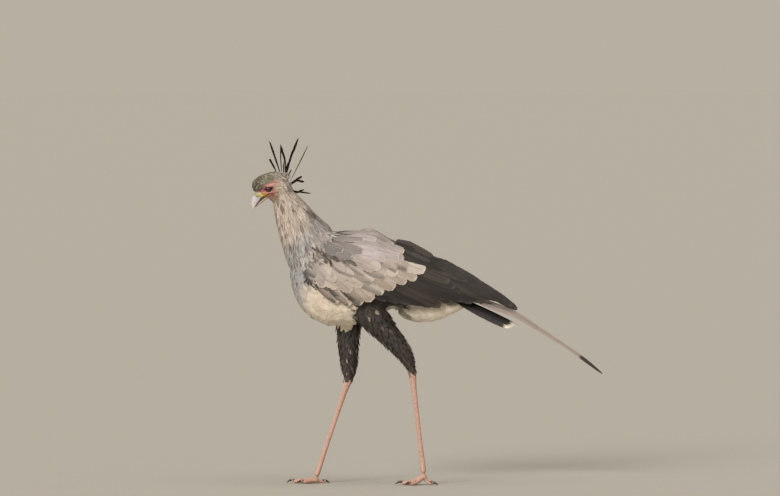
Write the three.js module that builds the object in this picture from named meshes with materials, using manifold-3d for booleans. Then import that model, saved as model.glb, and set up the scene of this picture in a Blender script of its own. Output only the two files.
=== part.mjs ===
// A life-size secretary bird, walking, with its folded wings, crest and tail streamers.
// Millimetres, +Z up. The bird faces -X, its left side is towards -Y, and it stands on Z = 0.
import * as THREE from "three";
import { mergeVertices } from "three/addons/utils/BufferGeometryUtils.js";
import Module from "manifold-3d";

const wasm = await Module();
wasm.setup();

// Driving dimensions
const LENGTH = 1027; // from the bend of the bill to the tips of the tail streamers
const BILL_X = -LENGTH / 2;
const TAIL_TIP_X = LENGTH / 2;
const CROWN_Z = 911;
const SHANK = 310; // the bare lower leg, from ankle to toe joint
const HIP = 50; // from the middle of the bird to the top of each thigh
const STANCE = 38; // from the middle of the bird to the middle of each foot
const GAP = 0.4; // between pieces that touch
const LEAST_HALF = 0.3; // half the thickness of the thinnest edge
const LEFT = -1;
const RIGHT = 1;

// Vertices closer than WELD are one, and those this near to a sphere's poles share the end of a shape.
const WELD = 1e-3;
const POLE = 1e-3;
const SLIVER = 0.1; // what a cut leaves thinner than this is smoothed away

const COLOURS = {
  grey: { color: 0xa29b98, roughness: 0.85, metalness: 0 },
  pale: { color: 0xc9bfb2, roughness: 0.9, metalness: 0 },
  black: { color: 0x2b2827, roughness: 0.7, metalness: 0 },
  horn: { color: 0xb9b6b4, roughness: 0.4, metalness: 0 },
  iris: { color: 0x2a1208, roughness: 0.1, metalness: 0 },
  scale: { color: 0xc79a8c, roughness: 0.6, metalness: 0 },
  claw: { color: 0x3a3230, roughness: 0.4, metalness: 0 },
};

// Geometry to solid and back
function solid(geometry) {
  const bare = geometry.clone();
  bare.deleteAttribute("normal");
  bare.deleteAttribute("uv");
  const merged = mergeVertices(bare, WELD);
  const vertProperties = merged.attributes.position.array;
  const triVerts = new Uint32Array(merged.index.array);
  const made = new wasm.Manifold(new wasm.Mesh({ numProp: 3, vertProperties, triVerts }));
  if (made.volume() > 0) return made;
  for (let i = 0; i < triVerts.length; i += 3) {
    [triVerts[i + 1], triVerts[i + 2]] = [triVerts[i + 2], triVerts[i + 1]];
  }
  return new wasm.Manifold(new wasm.Mesh({ numProp: 3, vertProperties, triVerts }));
}

function largest(shape) {
  return shape.decompose().sort((a, b) => b.volume() - a.volume())[0];
}

function union(shapes) {
  return shapes.reduce((a, b) => a.add(b));
}

const bird = new THREE.Group();

function place(name, shape, colour) {
  const { numProp, numVert, vertProperties, triVerts } = largest(shape).simplify(SLIVER).getMesh();
  const positions = new Float32Array(numVert * 3);
  for (let i = 0; i < numVert; i++) {
    positions.set(vertProperties.subarray(i * numProp, i * numProp + 3), i * 3);
  }
  const geometry = new THREE.BufferGeometry();
  geometry.setAttribute("position", new THREE.BufferAttribute(positions, 3));
  geometry.setIndex(new THREE.BufferAttribute(triVerts, 1));
  geometry.computeVertexNormals();
  const mesh = new THREE.Mesh(geometry, new THREE.MeshStandardMaterial(COLOURS[colour]));
  mesh.name = name;
  bird.add(mesh);
}

// A sphere whose rows of vertices are moved to where(u, angle, pole). Rows lie closer together
// towards both ends.
function reshaped(around, along, where) {
  const sphere = new THREE.SphereGeometry(1, around, along);
  sphere.deleteAttribute("normal");
  sphere.deleteAttribute("uv");
  const closed = mergeVertices(sphere, WELD);
  const p = closed.attributes.position;
  for (let i = 0; i < p.count; i++) {
    const theta = Math.acos(THREE.MathUtils.clamp(p.getY(i), -1, 1));
    const u = (theta / Math.PI + (1 - Math.cos(theta)) / 2) / 2;
    const angle = Math.atan2(p.getZ(i), p.getX(i));
    const spot = where(u, angle, Math.sin(theta) < POLE);
    p.setXYZ(i, spot.x, spot.y, spot.z);
  }
  return solid(closed);
}

function curve(points) {
  return new THREE.CatmullRomCurve3(points.map((point) => new THREE.Vector3(...point)));
}

function roundEnd(u, share) {
  const s = Math.min(1, Math.min(u, 1 - u) / share);
  return Math.sqrt(Math.max(0, 1 - (1 - s) ** 2));
}

// A rounded body along rings of [x, y, z, half height, half width]. Heights stand across the path,
// and widths along side.
function loft(rings, { around = 16, along = 14, side = [0, 1, 0], grow = 0, ends = 0.12 } = {}) {
  const path = curve(rings.map(([x, y, z]) => [x, y, z]));
  const sizes = curve(rings.map(([, , , high, wide]) => [high, wide, 0]));
  const across = new THREE.Vector3(...side);
  return reshaped(around, along, (u, angle, pole) => {
    const centre = path.getPoint(u);
    const tangent = path.getTangent(u);
    if (pole) return centre.addScaledVector(tangent, u < 0.5 ? -grow : grow);
    const sideways = across.clone().addScaledVector(tangent, -across.dot(tangent)).normalize();
    const upwards = new THREE.Vector3().crossVectors(tangent, sideways);
    const size = sizes.getPoint(u);
    const share = roundEnd(u, ends);
    return centre
      .addScaledVector(sideways, Math.cos(angle) * (Math.max(size.y, LEAST_HALF) * share + grow))
      .addScaledVector(upwards, Math.sin(angle) * (Math.max(size.x, LEAST_HALF) * share + grow));
  });
}

// A thin wall along a line of [x, z] points, right through the bird, that parts a solid in two.
function wall(points, thickness = GAP) {
  const line = points.map(([x, z]) => new THREE.Vector2(x, z));
  const shifted = line.map((point, i) => {
    const before = line[Math.max(0, i - 1)];
    const after = line[Math.min(line.length - 1, i + 1)];
    const along = after.clone().sub(before).normalize();
    return point.clone().add(new THREE.Vector2(-along.y, along.x).multiplyScalar(thickness));
  });
  const shape = new THREE.Shape([...line, ...shifted.reverse()]);
  const geometry = new THREE.ExtrudeGeometry(shape, { depth: LENGTH, bevelEnabled: false });
  geometry.rotateX(Math.PI / 2); // the shape's y becomes z
  geometry.translate(0, LENGTH / 2, 0);
  return solid(geometry);
}

// Cuts a solid by walls and gives back the pieces found by a thin rod at the [x, z] places named.
const ROD = 2;
function parted(shape, walls, places) {
  const pieces = shape.subtract(union(walls)).decompose();
  const pieceAt = ([x, z]) => {
    const rod = new THREE.BoxGeometry(ROD, LENGTH, ROD);
    rod.translate(x, 0, z);
    const probe = solid(rod);
    const met = (piece) => piece.intersect(probe).volume();
    return pieces.slice().sort((a, b) => met(b) - met(a))[0];
  };
  return Object.fromEntries(Object.entries(places).map(([name, spot]) => [name, pieceAt(spot)]));
}

// Head, neck and trunk, each a few rings of [x, y, z, half height, half width]
const HEAD = [
  [BILL_X + 4, 0, CROWN_Z - 58, 9, 9],
  [-494, 0, CROWN_Z - 47, 27, 20],
  [-472, 0, CROWN_Z - 44, 37, 28],
  [-443, 0, CROWN_Z - 45, 45, 33],
  [-418, 0, CROWN_Z - 52, 41, 33],
  [-396, 0, CROWN_Z - 64, 26, 24],
];
const NECK = [
  [-430, 0, 872, 30, 26],
  [-420, 0, 836, 36, 31],
  [-400, 0, 794, 50, 40],
  [-375, 0, 746, 65, 54],
  [-347, 0, 700, 80, 72],
  [-325, 0, 650, 82, 84],
  [-300, 0, 596, 60, 60],
];
const TRUNK = [
  [-404, 0, 612, 30, 30],
  [-385, 0, 611, 61, 58],
  [-355, 0, 607, 99, 78],
  [-318, 0, 602, 126, 93],
  [-265, 0, 597, 141, 107],
  [-190, 0, 600, 131, 111],
  [-110, 0, 604, 98, 98],
  [-30, 0, 590, 78, 74],
  [50, 0, 570, 44, 44],
  [105, 0, 553, 22, 28],
];
const UNDERTAIL = [
  [-95, 0, 530, 30, 40],
  [-50, 0, 512, 38, 44],
  [5, 0, 508, 37, 40],
  [60, 0, 518, 26, 30],
  [112, 0, 526, 9, 14],
];
const BILL_UPPER = [
  [-452, 0, 848, 3, 15],
  [-474, 0, 846, 9, 14],
  [-493, 0, 839, 14.5, 11],
  [-503, 0, 824, 11, 7.5],
  [-507.5, 0, 810, 5.5, 4],
  [-505.5, 0, 799, 1.2, 1.2],
];
const BILL_LOWER = [
  [-454, 0, 838, 5, 12],
  [-470, 0, 831, 6, 10],
  [-484, 0, 820.5, 5, 7.5],
  [-494, 0, 811.5, 2.6, 4],
  [-498, 0, 808, 1, 2],
];
const EYE = { x: -463.5, y: 22, z: 858.5, radius: 9.5 };

// The folded wing is a shell wrapped on the bird's side: x, centre height, half height and half width
// of the ellipse that it lies on, the lowest and highest angle that it covers, and its thickness.
const WING = [
  [-374, 630, 26, 84, -6, 14, 6],
  [-352, 628, 96, 98, -24, 44, 14],
  [-302, 606, 141, 113, -19, 68, 16],
  [-250, 602, 145, 121, -29, 80, 16],
  [-200, 602, 145, 125, -32, 81, 16],
  [-150, 600, 142, 124, -26, 82, 16],
  [-100, 590, 123, 117, -26, 82, 15],
  [-50, 580, 117, 105, -25, 82, 14],
  [0, 570, 103, 90, -28, 82, 12],
  [50, 562, 70, 72, -30, 81, 10],
  [100, 556, 54, 54, -22, 80, 8],
  [150, 549, 31, 39, -24, 78, 7],
  [205, 537, 17, 26, -16, 70, 5],
  [260, 509, 5, 15, -10, 50, 3],
];

function wingShell(side, grow = 0) {
  const middle = curve(WING.map(([x, z, high]) => [x, z, high]));
  const girth = curve(WING.map(([, , , wide, low, top]) => [wide, low, top]));
  const depth = curve(WING.map(([, , , , , , thick]) => [thick, 0, 0]));
  return reshaped(12, 22, (u, angle, pole) => {
    const { x, y: z, z: high } = middle.getPoint(u);
    const { x: wide, y: low, z: top } = girth.getPoint(u);
    const thick = depth.getPoint(u).x;
    const share = pole ? 0 : Math.sqrt(roundEnd(u, 0.1));
    const spread = pole ? 0 : (grow / high) * THREE.MathUtils.RAD2DEG;
    const turn = THREE.MathUtils.degToRad(
      THREE.MathUtils.lerp(low - spread, top + spread, (Math.sin(angle) * share + 1) / 2),
    );
    const inset = -thick / 2 + Math.cos(angle) * ((thick / 2) * share + (pole ? 0 : grow));
    const beyond = pole ? (u < 0.5 ? -grow : grow) : 0;
    return new THREE.Vector3(
      x + beyond,
      side * (wide + inset) * Math.cos(turn),
      z + (high + inset) * Math.sin(turn),
    );
  });
}

// Lines, as [x, z], where one group of wing feathers ends on the next
const SCAPULAR_EDGE = [
  [-400, 690],
  [-300, 683],
  [-228, 676],
  [-160, 658],
  [-94, 663],
  [-86, 682],
  [-92, 702],
  [-92, 800],
];
const COVERT_EDGE = [
  [-214, 470],
  [-211, 526],
  [-150, 546],
  [-102, 573],
  [-42, 596],
  [-9, 622],
  [-42, 641],
  [-92, 659],
  [-120, 668],
];
const TERTIAL_EDGE = [
  [-24, 628],
  [42, 600],
  [74, 583],
];
const PRIMARY_EDGE = [
  [92, 660],
  [72, 586],
  [62, 556],
  [62, 480],
];
const WING_GROUPS = {
  scapulars: [-210, 705],
  coverts: [-190, 600],
  tertials: [-5, 650],
  secondaries: [-60, 570],
  primaries: [160, 550],
};

// A flat feather along rings of [x, y, z, half thickness, half width], tilted about its own length.
function blade(rings, tilt, { around = 4, along = 6, grow = 0 } = {}) {
  const lean = THREE.MathUtils.degToRad(tilt);
  return loft(rings, { around, along, grow, side: [0, Math.cos(lean), Math.sin(lean)], ends: 0.1 });
}

const RECTRICES = 4; // on each side, under the streamers
const TAIL_ROOT = { x: 70, z: 552 };
const TAIL_SLOPE = 0.455; // fall for each millimetre back
function rectrix(side, i) {
  const reach = 182 - 7 * i;
  const drop = 3 + 5.4 * i;
  const at = (share, half) => [
    TAIL_ROOT.x + reach * share,
    side * (6 + 5.6 * i + 6 * share),
    TAIL_ROOT.z - drop * (0.4 + 0.6 * share) - reach * share * TAIL_SLOPE,
    1.6,
    half,
  ];
  return blade([at(0, 8), at(0.4, 15), at(0.8, 17), at(1, 8)], side * (-12 - 5 * i));
}

function streamer(side, grow = 0) {
  const rings = [
    [78, side * 9, 569, 1.6, 12],
    [149, side * 14, 536, 1.7, 19],
    [251, side * 13, 495, 1.6, 15],
    [323, side * 12, 451, 1.5, 11],
    [407, side * 11, 396, 1.4, 9],
    [455, side * 10, 362, 1.4, 10],
    [TAIL_TIP_X - 1, side * 10, 317, 1.3, 4],
  ];
  return blade(rings, side * -24, { along: 16, grow });
}

// Crest plumes as [root x, z], [middle x, z], [tip x, z], the tip's distance to the side, and half width
const PLUMES = [
  [[-436, 898], [-453, 930], [-462, 946], -6, 3.4],
  [[-428, 896], [-446, 950], [-462, 997], 5, 4.2],
  [[-425, 892], [-429, 940], [-430, 986], 12, 3.4],
  [[-415, 886], [-417, 940], [-430, 988], -12, 5],
  [[-417, 884], [-402, 945], [-378, 1007], -4, 5],
  [[-404, 876], [-376, 932], [-350, 985], 14, 4],
  [[-406, 872], [-383, 886], [-367, 895], -16, 4.5],
  [[-404, 868], [-381, 883], [-361, 880], -24, 4.5],
  [[-404, 862], [-383, 849], [-361, 857], -20, 3.8],
  [[-402, 856], [-378, 850], [-342, 845], 18, 3],
];
function plume([root, middle, tip, offset, half]) {
  const rings = [
    [root[0], offset * 0.4, root[1], 1.6, 1.8],
    [middle[0], offset * 0.7, middle[1], 1.2, half * 0.62],
    [(middle[0] + tip[0]) / 2, offset * 0.86, (middle[1] + tip[1]) / 2, 1, half],
    [tip[0], offset, tip[1], 0.9, half * 0.55],
  ];
  return loft(rings, { around: 5, along: 5, side: [0.35, 1, 0.2] });
}

// The toe joint at the far end of a shank that leans forward (-1) or back (1) from its ankle, as [x, z]
function below([x, z], height, way) {
  return [x + way * Math.sqrt(SHANK ** 2 - (z - height) ** 2), height];
}

// Legs: feathered thighs, bare shanks, feet
const LEGS = {
  left: {
    side: LEFT,
    thigh: [
      [-198, 556, 46, 36],
      [-166, 500, 47, 38],
      [-139, 464, 38, 33],
      [-111, 432, 31, 28],
      [-79, 393, 26, 23],
      [-57, 357, 18, 17],
      [-49, 330, 8, 9],
    ],
    ankle: [-49, 336],
    toeJoint: below([-49, 336], 28, 1),
  },
  right: {
    side: RIGHT,
    thigh: [
      [-213, 556, 45, 36],
      [-227, 500, 43, 37],
      [-233, 455, 36, 32],
      [-233, 405, 30, 27],
      [-231, 357, 26, 23],
      [-231, 322, 20, 18],
      [-231, 298, 8, 9],
    ],
    ankle: [-231, 308],
    toeJoint: below([-231, 308], 14, -1),
  },
};

const ANKLE = STANCE + 3; // from the middle of the bird to each ankle

function thigh({ side, thigh: rings }, grow = 0) {
  const out = (i) => THREE.MathUtils.lerp(HIP, ANKLE, i / (rings.length - 1));
  const line = rings.map(([x, z, high, wide], i) => [x, side * out(i), z, high, wide]);
  return loft(line, { around: 12, along: 10, grow });
}

function shank({ side, ankle, toeJoint }, grow = 0) {
  const at = (share, high, wide) => [
    THREE.MathUtils.lerp(ankle[0], toeJoint[0], share),
    side * THREE.MathUtils.lerp(ANKLE, STANCE, share),
    THREE.MathUtils.lerp(ankle[1], toeJoint[1], share),
    high,
    wide,
  ];
  const rings = [
    at(-0.035, 9, 9),
    at(0.02, 13.5, 12),
    at(0.1, 9.5, 8.5),
    at(0.4, 7.6, 6.6),
    at(0.75, 7.6, 6.8),
    at(0.93, 9.5, 10.5),
    at(0.985, 8, 11),
  ];
  return loft(rings, { around: 9, along: 10, grow, ends: 0.06 });
}

// Toes as length, angle out from straight ahead, and girth. The last one points back.
const TOES = [
  { name: "inner", length: 46, out: -32, girth: 7.4 },
  { name: "middle", length: 66, out: 2, girth: 8 },
  { name: "outer", length: 50, out: 34, girth: 7.2 },
  { name: "hind", length: 26, out: 164, girth: 6 },
];

function toeRings({ side, toeJoint }, { length, out, girth }) {
  const turn = THREE.MathUtils.degToRad(out);
  const start = Math.max(toeJoint[1] - 3, girth);
  const at = (share, height, size) => [
    toeJoint[0] - Math.cos(turn) * length * share,
    side * (STANCE + Math.sin(turn) * length * share),
    height,
    size,
    size * 1.08,
  ];
  const low = girth - 1.2;
  return [
    at(0, start, girth * 1.2),
    at(0.3, THREE.MathUtils.lerp(start, low, 0.5), girth),
    at(0.62, low, girth),
    at(0.9, low - 0.6, girth * 0.86),
    at(1.02, low - 1, girth * 0.5),
  ];
}

function toe(leg, shape, grow = 0) {
  return loft(toeRings(leg, shape), { around: 7, along: 5, grow, side: [0.3, 1, 0.02], ends: 0.1 });
}

// The pad under the toe joint, where the toes meet
function sole({ side, toeJoint }, grow = 0) {
  const ball = new THREE.SphereGeometry(1, 10, 6);
  ball.scale(13 + grow, 12 + grow, 9 + grow);
  ball.translate(toeJoint[0] - 2, side * STANCE, Math.max(toeJoint[1] - 5, 7));
  return solid(ball);
}

function claw({ side, toeJoint }, { length, out, girth }) {
  const turn = THREE.MathUtils.degToRad(out);
  const at = (beyond, height, size) => [
    toeJoint[0] - Math.cos(turn) * (length + beyond),
    side * (STANCE + Math.sin(turn) * (length + beyond)),
    height,
    size,
    size * 0.85,
  ];
  const rings = [
    at(-5, girth + 0.6, 3.4),
    at(3, girth + 1.6, 3.6),
    at(11, girth - 0.6, 2.5),
    at(16, girth - 4.2, 1.2),
    at(17.5, 1.6, 0.6),
  ];
  return loft(rings, { around: 6, along: 5, side: [0.3, 1, 0.02] });
}

function aboveFloor(shape) {
  const block = new THREE.BoxGeometry(2 * LENGTH, LENGTH, LENGTH);
  block.translate(0, 0, LENGTH / 2);
  return shape.intersect(solid(block));
}

// The neck stands over the front of the wings, and the rest of the body is cut back to them.
const NECK_MESH = { around: 18, along: 10 };
const neckCore = loft(NECK, NECK_MESH);
const neckRoom = loft(NECK, { ...NECK_MESH, grow: GAP });
const wingRoom = wingShell(LEFT, GAP).add(wingShell(RIGHT, GAP)).subtract(neckCore);
for (const [name, side] of [["left", LEFT], ["right", RIGHT]]) {
  const walls = [SCAPULAR_EDGE, COVERT_EDGE, TERTIAL_EDGE, PRIMARY_EDGE].map((line) => wall(line));
  const groups = parted(wingShell(side).subtract(neckRoom), walls, WING_GROUPS);
  for (const [group, piece] of Object.entries(groups)) {
    const colour = group === "scapulars" || group === "coverts" ? "grey" : "black";
    place(`wing_${name}_${group}`, piece, colour);
  }
}

// The body is made whole, cut round what touches it, and parted by thin cuts.
const upperBill = (grow) => loft(BILL_UPPER, { around: 10, along: 10, grow });
const lowerBill = (grow) => loft(BILL_LOWER, { around: 10, along: 8, grow });
const eyeball = (side, grow) => {
  const ball = new THREE.SphereGeometry(EYE.radius + grow, 10, 6);
  ball.translate(EYE.x, side * EYE.y, EYE.z);
  return solid(ball);
};
const bodyShape = (grow) =>
  union([
    loft(HEAD, { around: 16, along: 10, grow }),
    loft(NECK, { ...NECK_MESH, grow }),
    loft(TRUNK, { around: 18, along: 14, grow }),
    loft(UNDERTAIL, { around: 12, along: 8, grow }),
  ]);
const body = bodyShape(0)
  .subtract(wingRoom)
  .subtract(upperBill(GAP))
  .subtract(lowerBill(GAP))
  .subtract(eyeball(LEFT, GAP))
  .subtract(eyeball(RIGHT, GAP));
const bodyWalls = [
  wall([[-520, 776], [-372, 838]]), // head to neck
  wall([[-470, 912], [-395, 823]]), // head to crest
  wall([[-470, 662], [-262, 768]]), // neck to trunk
  wall([[-40, 760], [-62, 420]]), // trunk to rump
];
const pieces = parted(body, bodyWalls, {
  head: [-460, 860],
  nape: [-410, 880],
  neck: [-370, 770],
  trunk: [-220, 590],
  rump: [20, 550],
});
place("head", pieces.head, "grey");
place("neck", pieces.neck, "grey");
place("crest", union([pieces.nape, ...PLUMES.map(plume)]), "black");
place("bill_upper", upperBill(0), "horn");
place("bill_lower", lowerBill(0).subtract(upperBill(GAP)), "horn");
place("eye_left", eyeball(LEFT, 0), "iris");
place("eye_right", eyeball(RIGHT, 0), "iris");

// Tail: a fan of feathers under two long streamers
const streamerRoom = streamer(LEFT, GAP).add(streamer(RIGHT, GAP));
const bodyRoom = bodyShape(GAP);
const halfFan = (side) => union(Array.from({ length: RECTRICES }, (_, i) => rectrix(side, i)));
const fan = halfFan(LEFT).add(halfFan(RIGHT));
const clearFan = fan.subtract(streamerRoom).subtract(bodyRoom).subtract(wingRoom);
place("tail_fan", clearFan, "black");
place("tail_streamer_left", streamer(LEFT).subtract(bodyRoom).subtract(wingRoom), "grey");
place(
  "tail_streamer_right",
  streamer(RIGHT).subtract(streamer(LEFT, GAP)).subtract(bodyRoom).subtract(wingRoom),
  "grey",
);

// Legs are cut back to the body above them, and to each other.
for (const [name, leg] of Object.entries(LEGS)) {
  const shin = shank(leg);
  const toes = [sole(leg), ...TOES.map((shape) => toe(leg, shape))];
  const toeRoom = union([sole(leg, GAP), ...TOES.map((shape) => toe(leg, shape, GAP))]);
  const claws = TOES.map((shape) => claw(leg, shape));
  place(`thigh_${name}`, thigh(leg).subtract(bodyRoom).subtract(wingRoom), "black");
  place(`shank_${name}`, shin.subtract(thigh(leg, GAP)).subtract(toeRoom), "scale");
  place(`foot_${name}`, aboveFloor(union(toes)), "scale");
  TOES.forEach((shape, i) => {
    place(`claw_${name}_${shape.name}`, aboveFloor(claws[i]).subtract(toeRoom), "claw");
  });
}
place("trunk", pieces.trunk, "pale");
place("rump", pieces.rump, "pale");

export default bird;
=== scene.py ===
"""A standing secretary bird, life size: one skin under a coat of feathers and scales, with its bill, eyes,
lashes and claws.

Lengths in the tables are millimetres. They turn into metres where a mesh is made. The bird looks towards -X,
its left side, -Y, faces the camera, and it stands on the floor at Z = 0.
"""
import math

import bmesh
import bpy
import numpy as np
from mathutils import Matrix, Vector
from mathutils.bvhtree import BVHTree


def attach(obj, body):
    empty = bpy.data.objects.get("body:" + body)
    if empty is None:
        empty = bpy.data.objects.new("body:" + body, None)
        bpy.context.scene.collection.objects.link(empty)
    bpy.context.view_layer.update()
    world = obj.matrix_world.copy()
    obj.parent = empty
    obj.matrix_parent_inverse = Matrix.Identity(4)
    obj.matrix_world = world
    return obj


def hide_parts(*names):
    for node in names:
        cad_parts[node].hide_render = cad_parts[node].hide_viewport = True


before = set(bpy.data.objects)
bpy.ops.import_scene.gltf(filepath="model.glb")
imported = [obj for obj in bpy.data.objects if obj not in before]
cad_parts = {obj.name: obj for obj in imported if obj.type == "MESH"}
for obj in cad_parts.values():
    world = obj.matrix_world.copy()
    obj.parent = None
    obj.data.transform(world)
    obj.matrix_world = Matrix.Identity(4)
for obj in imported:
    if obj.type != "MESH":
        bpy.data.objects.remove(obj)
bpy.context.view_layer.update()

MM = 0.001
LEFT, RIGHT = -1, 1
SIDES = {"left": LEFT, "right": RIGHT}

WING_PARTS = ("scapulars", "coverts", "tertials", "secondaries", "primaries")
FLESH = ["head", "neck", "trunk", "rump", "thigh_left", "thigh_right"]
LEG_SKIN = ["shank_left", "shank_right", "foot_left", "foot_right"]
ARMS = [f"wing_{side}_{part}" for side in SIDES for part in ("scapulars", "coverts")]
BLADES = [f"wing_{side}_{part}" for side in SIDES for part in ("tertials", "secondaries", "primaries")]

# The line down the middle of the body as (x, z), from the bill's root over the nape and down to the rump
SPINE = np.array([(-512, 843), (-430, 880), (-400, 794), (-347, 700), (-300, 600), (110, 553)], float)


# Small sums


def smooth(low, high, value):
    """0 below low, 1 above high and an even curve between."""
    share = np.clip((np.asarray(value, float) - low) / (high - low), 0, 1)
    return share * share * (3 - 2 * share)


def unit(vectors):
    length = np.linalg.norm(vectors, axis=-1, keepdims=True)
    return vectors / np.maximum(length, 1e-9)


def paint(red, green, blue):
    """A colour as the eye names it, 0 to 255, turned into light."""
    share = np.array([red, green, blue], float) / 255
    return np.where(share <= 0.04045, share / 12.92, ((share + 0.055) / 1.055) ** 2.4)


def blend(first, second, share):
    share = np.asarray(share, float)[..., None]
    return first * (1 - share) + second * share


def along_spine(points):
    """How far each point lies along the spine, in millimetres, and its angle round it in turns."""
    flat = points[:, [0, 2]]
    best, stage, turn = np.full(len(points), 1e9), np.zeros(len(points)), np.zeros(len(points))
    passed = 0.0
    for start, end in zip(SPINE[:-1], SPINE[1:]):
        way = end - start
        length = np.hypot(*way)
        share = np.clip((flat - start) @ way / length**2, 0, 1)
        off = flat - start - share[:, None] * way
        gap = np.hypot(*off.T)
        above = off @ np.array([-way[1], way[0]]) / length
        nearer = gap < best
        best = np.where(nearer, gap, best)
        stage = np.where(nearer, passed + share * length, stage)
        turn = np.where(nearer, np.arctan2(points[:, 1], above) / (2 * math.pi) + 0.5, turn)
        passed += length
    return stage, turn


SPINE_LENGTH = float(np.hypot(*np.diff(SPINE, axis=0).T).sum())


# Surfaces of the CAD nodes


def placed(name, data):
    """A new object in the scene."""
    made = bpy.data.objects.new(name, data)
    bpy.context.scene.collection.objects.link(made)
    return made


def welded(names, grow=0.0):
    """The named CAD nodes as points moved out by grow, triangles and each triangle's node."""
    points, triangles, owners, total = [], [], [], 0
    for number, name in enumerate(names):
        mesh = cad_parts[name].data
        raw = np.zeros(len(mesh.vertices) * 3)
        mesh.vertices.foreach_get("co", raw)
        mesh.calc_loop_triangles()
        corners = np.zeros(len(mesh.loop_triangles) * 3, int)
        mesh.loop_triangles.foreach_get("vertices", corners)
        spots, place = np.unique(np.round(raw.reshape(-1, 3) / MM, 3), axis=0, return_inverse=True)
        tris = place.ravel()[corners].reshape(-1, 3)
        if grow:
            spots = spots + grow * point_normals(spots, tris)
        points.append(spots)
        triangles.append(tris + total)
        owners.append(np.full(len(tris), number))
        total += len(spots)
    return np.vstack(points), np.vstack(triangles), np.concatenate(owners)


def point_normals(points, faces):
    a, b, c = points[faces[:, 0]], points[faces[:, 1]], points[faces[:, 2]]
    across = np.cross(b - a, c - a)
    if faces.shape[1] == 4:
        d = points[faces[:, 3]]
        across = np.cross(c - a, d - b)
    total = np.zeros_like(points)
    for corner in faces.T:
        for axis in range(3):
            total[:, axis] += np.bincount(corner, across[:, axis], len(points))
    return unit(total)


def remeshed(points, faces, voxel):
    """One closed quad surface round the solids."""
    mesh = bpy.data.meshes.new("rough")
    mesh.from_pydata(points.tolist(), [], faces.tolist())
    rough = placed("rough", mesh)
    voxels = rough.modifiers.new("voxels", "REMESH")
    voxels.mode = "VOXEL"
    voxels.voxel_size = voxel
    made = rough.evaluated_get(bpy.context.evaluated_depsgraph_get()).to_mesh()
    spots = np.zeros(len(made.vertices) * 3)
    made.vertices.foreach_get("co", spots)
    corners = np.zeros(len(made.polygons) * 4, int)
    made.polygons.foreach_get("vertices", corners)
    bpy.data.objects.remove(rough)
    bpy.data.meshes.remove(mesh)
    return spots.reshape(-1, 3), corners.reshape(-1, 4)


def edge_pairs(faces):
    sides = faces.shape[1]
    pairs = np.vstack([faces[:, [i, (i + 1) % sides]] for i in range(sides)])
    return np.unique(np.sort(pairs, axis=1), axis=0)


def averaged(values, pairs, count):
    """Each point's neighbours' mean."""
    ends = np.concatenate([pairs[:, 0], pairs[:, 1]])
    others = np.concatenate([pairs[:, 1], pairs[:, 0]])
    number = np.maximum(np.bincount(ends, minlength=count), 1)
    columns = [np.bincount(ends, values[others, axis], count) / number for axis in range(values.shape[1])]
    return np.stack(columns, 1)


def eased(points, pairs, rounds, share=1.0):
    """The points smoothed with no shrinking: each round draws them together and lets them out again."""
    for _ in range(rounds):
        for pull in (0.5, -0.53):
            points = points + pull * share * (averaged(points, pairs, len(points)) - points)
    return points


class Surface:
    """A closed surface that feathers are laid on."""

    def __init__(self, points, faces):
        self.points = points
        self.faces = faces
        self.normals = point_normals(points, faces)
        self.tree = BVHTree.FromPolygons(points.tolist(), faces.tolist())

    def near(self, points):
        """The nearest point of the surface to each point, and its face."""
        spots, found = np.empty((len(points), 3)), np.empty(len(points), int)
        for i, point in enumerate(points.tolist()):
            spot, _, face, _ = self.tree.find_nearest(point)
            spots[i] = spot
            found[i] = face
        return spots, found

    def normal_at(self, spots, found):
        """The surface's smooth normal at a point of a face."""
        corners = self.faces[found]
        gaps = np.linalg.norm(self.points[corners] - spots[:, None], axis=2)
        share = 1 / (gaps + 0.2) ** 2
        return unit((self.normals[corners] * share[..., None]).sum(1))


def opened(points, faces):
    """An editable mesh of points and faces."""
    body = bmesh.new()
    spots = [body.verts.new(point) for point in points.tolist()]
    for face in faces:
        body.faces.new([spots[i] for i in face])
    return body


def closed(body):
    """An editable mesh's points and lists of corners, as it is put away."""
    body.verts.index_update()
    points = np.array([v.co[:] for v in body.verts])
    faces = [[v.index for v in f.verts] for f in body.faces]
    body.free()
    return points, faces


# Where the plumes are cut off the nape: a place on each cut and its way outwards
NAPE_CUTS = [((-436, 0, 908), (0.53, 0, 0.85)), ((-388, 0, 850), (0.83, 0, 0.55))]


def trimmed_nape():
    """The crest node without its plumes: the nape, closed where they stood."""
    points, faces, _ = welded(["crest"])
    body = opened(points, faces.tolist())
    for place, outwards in NAPE_CUTS:
        everything = body.verts[:] + body.edges[:] + body.faces[:]
        bmesh.ops.bisect_plane(
            body, geom=everything, plane_co=Vector(place), plane_no=Vector(outwards), clear_outer=True
        )
        bmesh.ops.holes_fill(body, edges=[e for e in body.edges if e.is_boundary])
    bmesh.ops.triangulate(body, faces=body.faces[:])
    kept, tris = closed(body)
    return kept, np.array(tris)


VOXEL = 3.2
NODE_NAMES = FLESH + LEG_SKIN + ARMS + BLADES + ["crest"]
NODE_POINTS, NODE_FACES, NODE_OWNER = welded(NODE_NAMES)
NODE_TREE = BVHTree.FromPolygons(NODE_POINTS.tolist(), NODE_FACES.tolist())


def owners(points):
    """The number in NODE_NAMES of the CAD node nearest to each point."""
    faces = [NODE_TREE.find_nearest(point)[2] for point in points.tolist()]
    return NODE_OWNER[np.array(faces)]


def owned(which, *starts):
    """True where the owner's name starts with one of these."""
    chosen = [number for number, name in enumerate(NODE_NAMES) if name.startswith(starts)]
    return np.isin(which, chosen)


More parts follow.
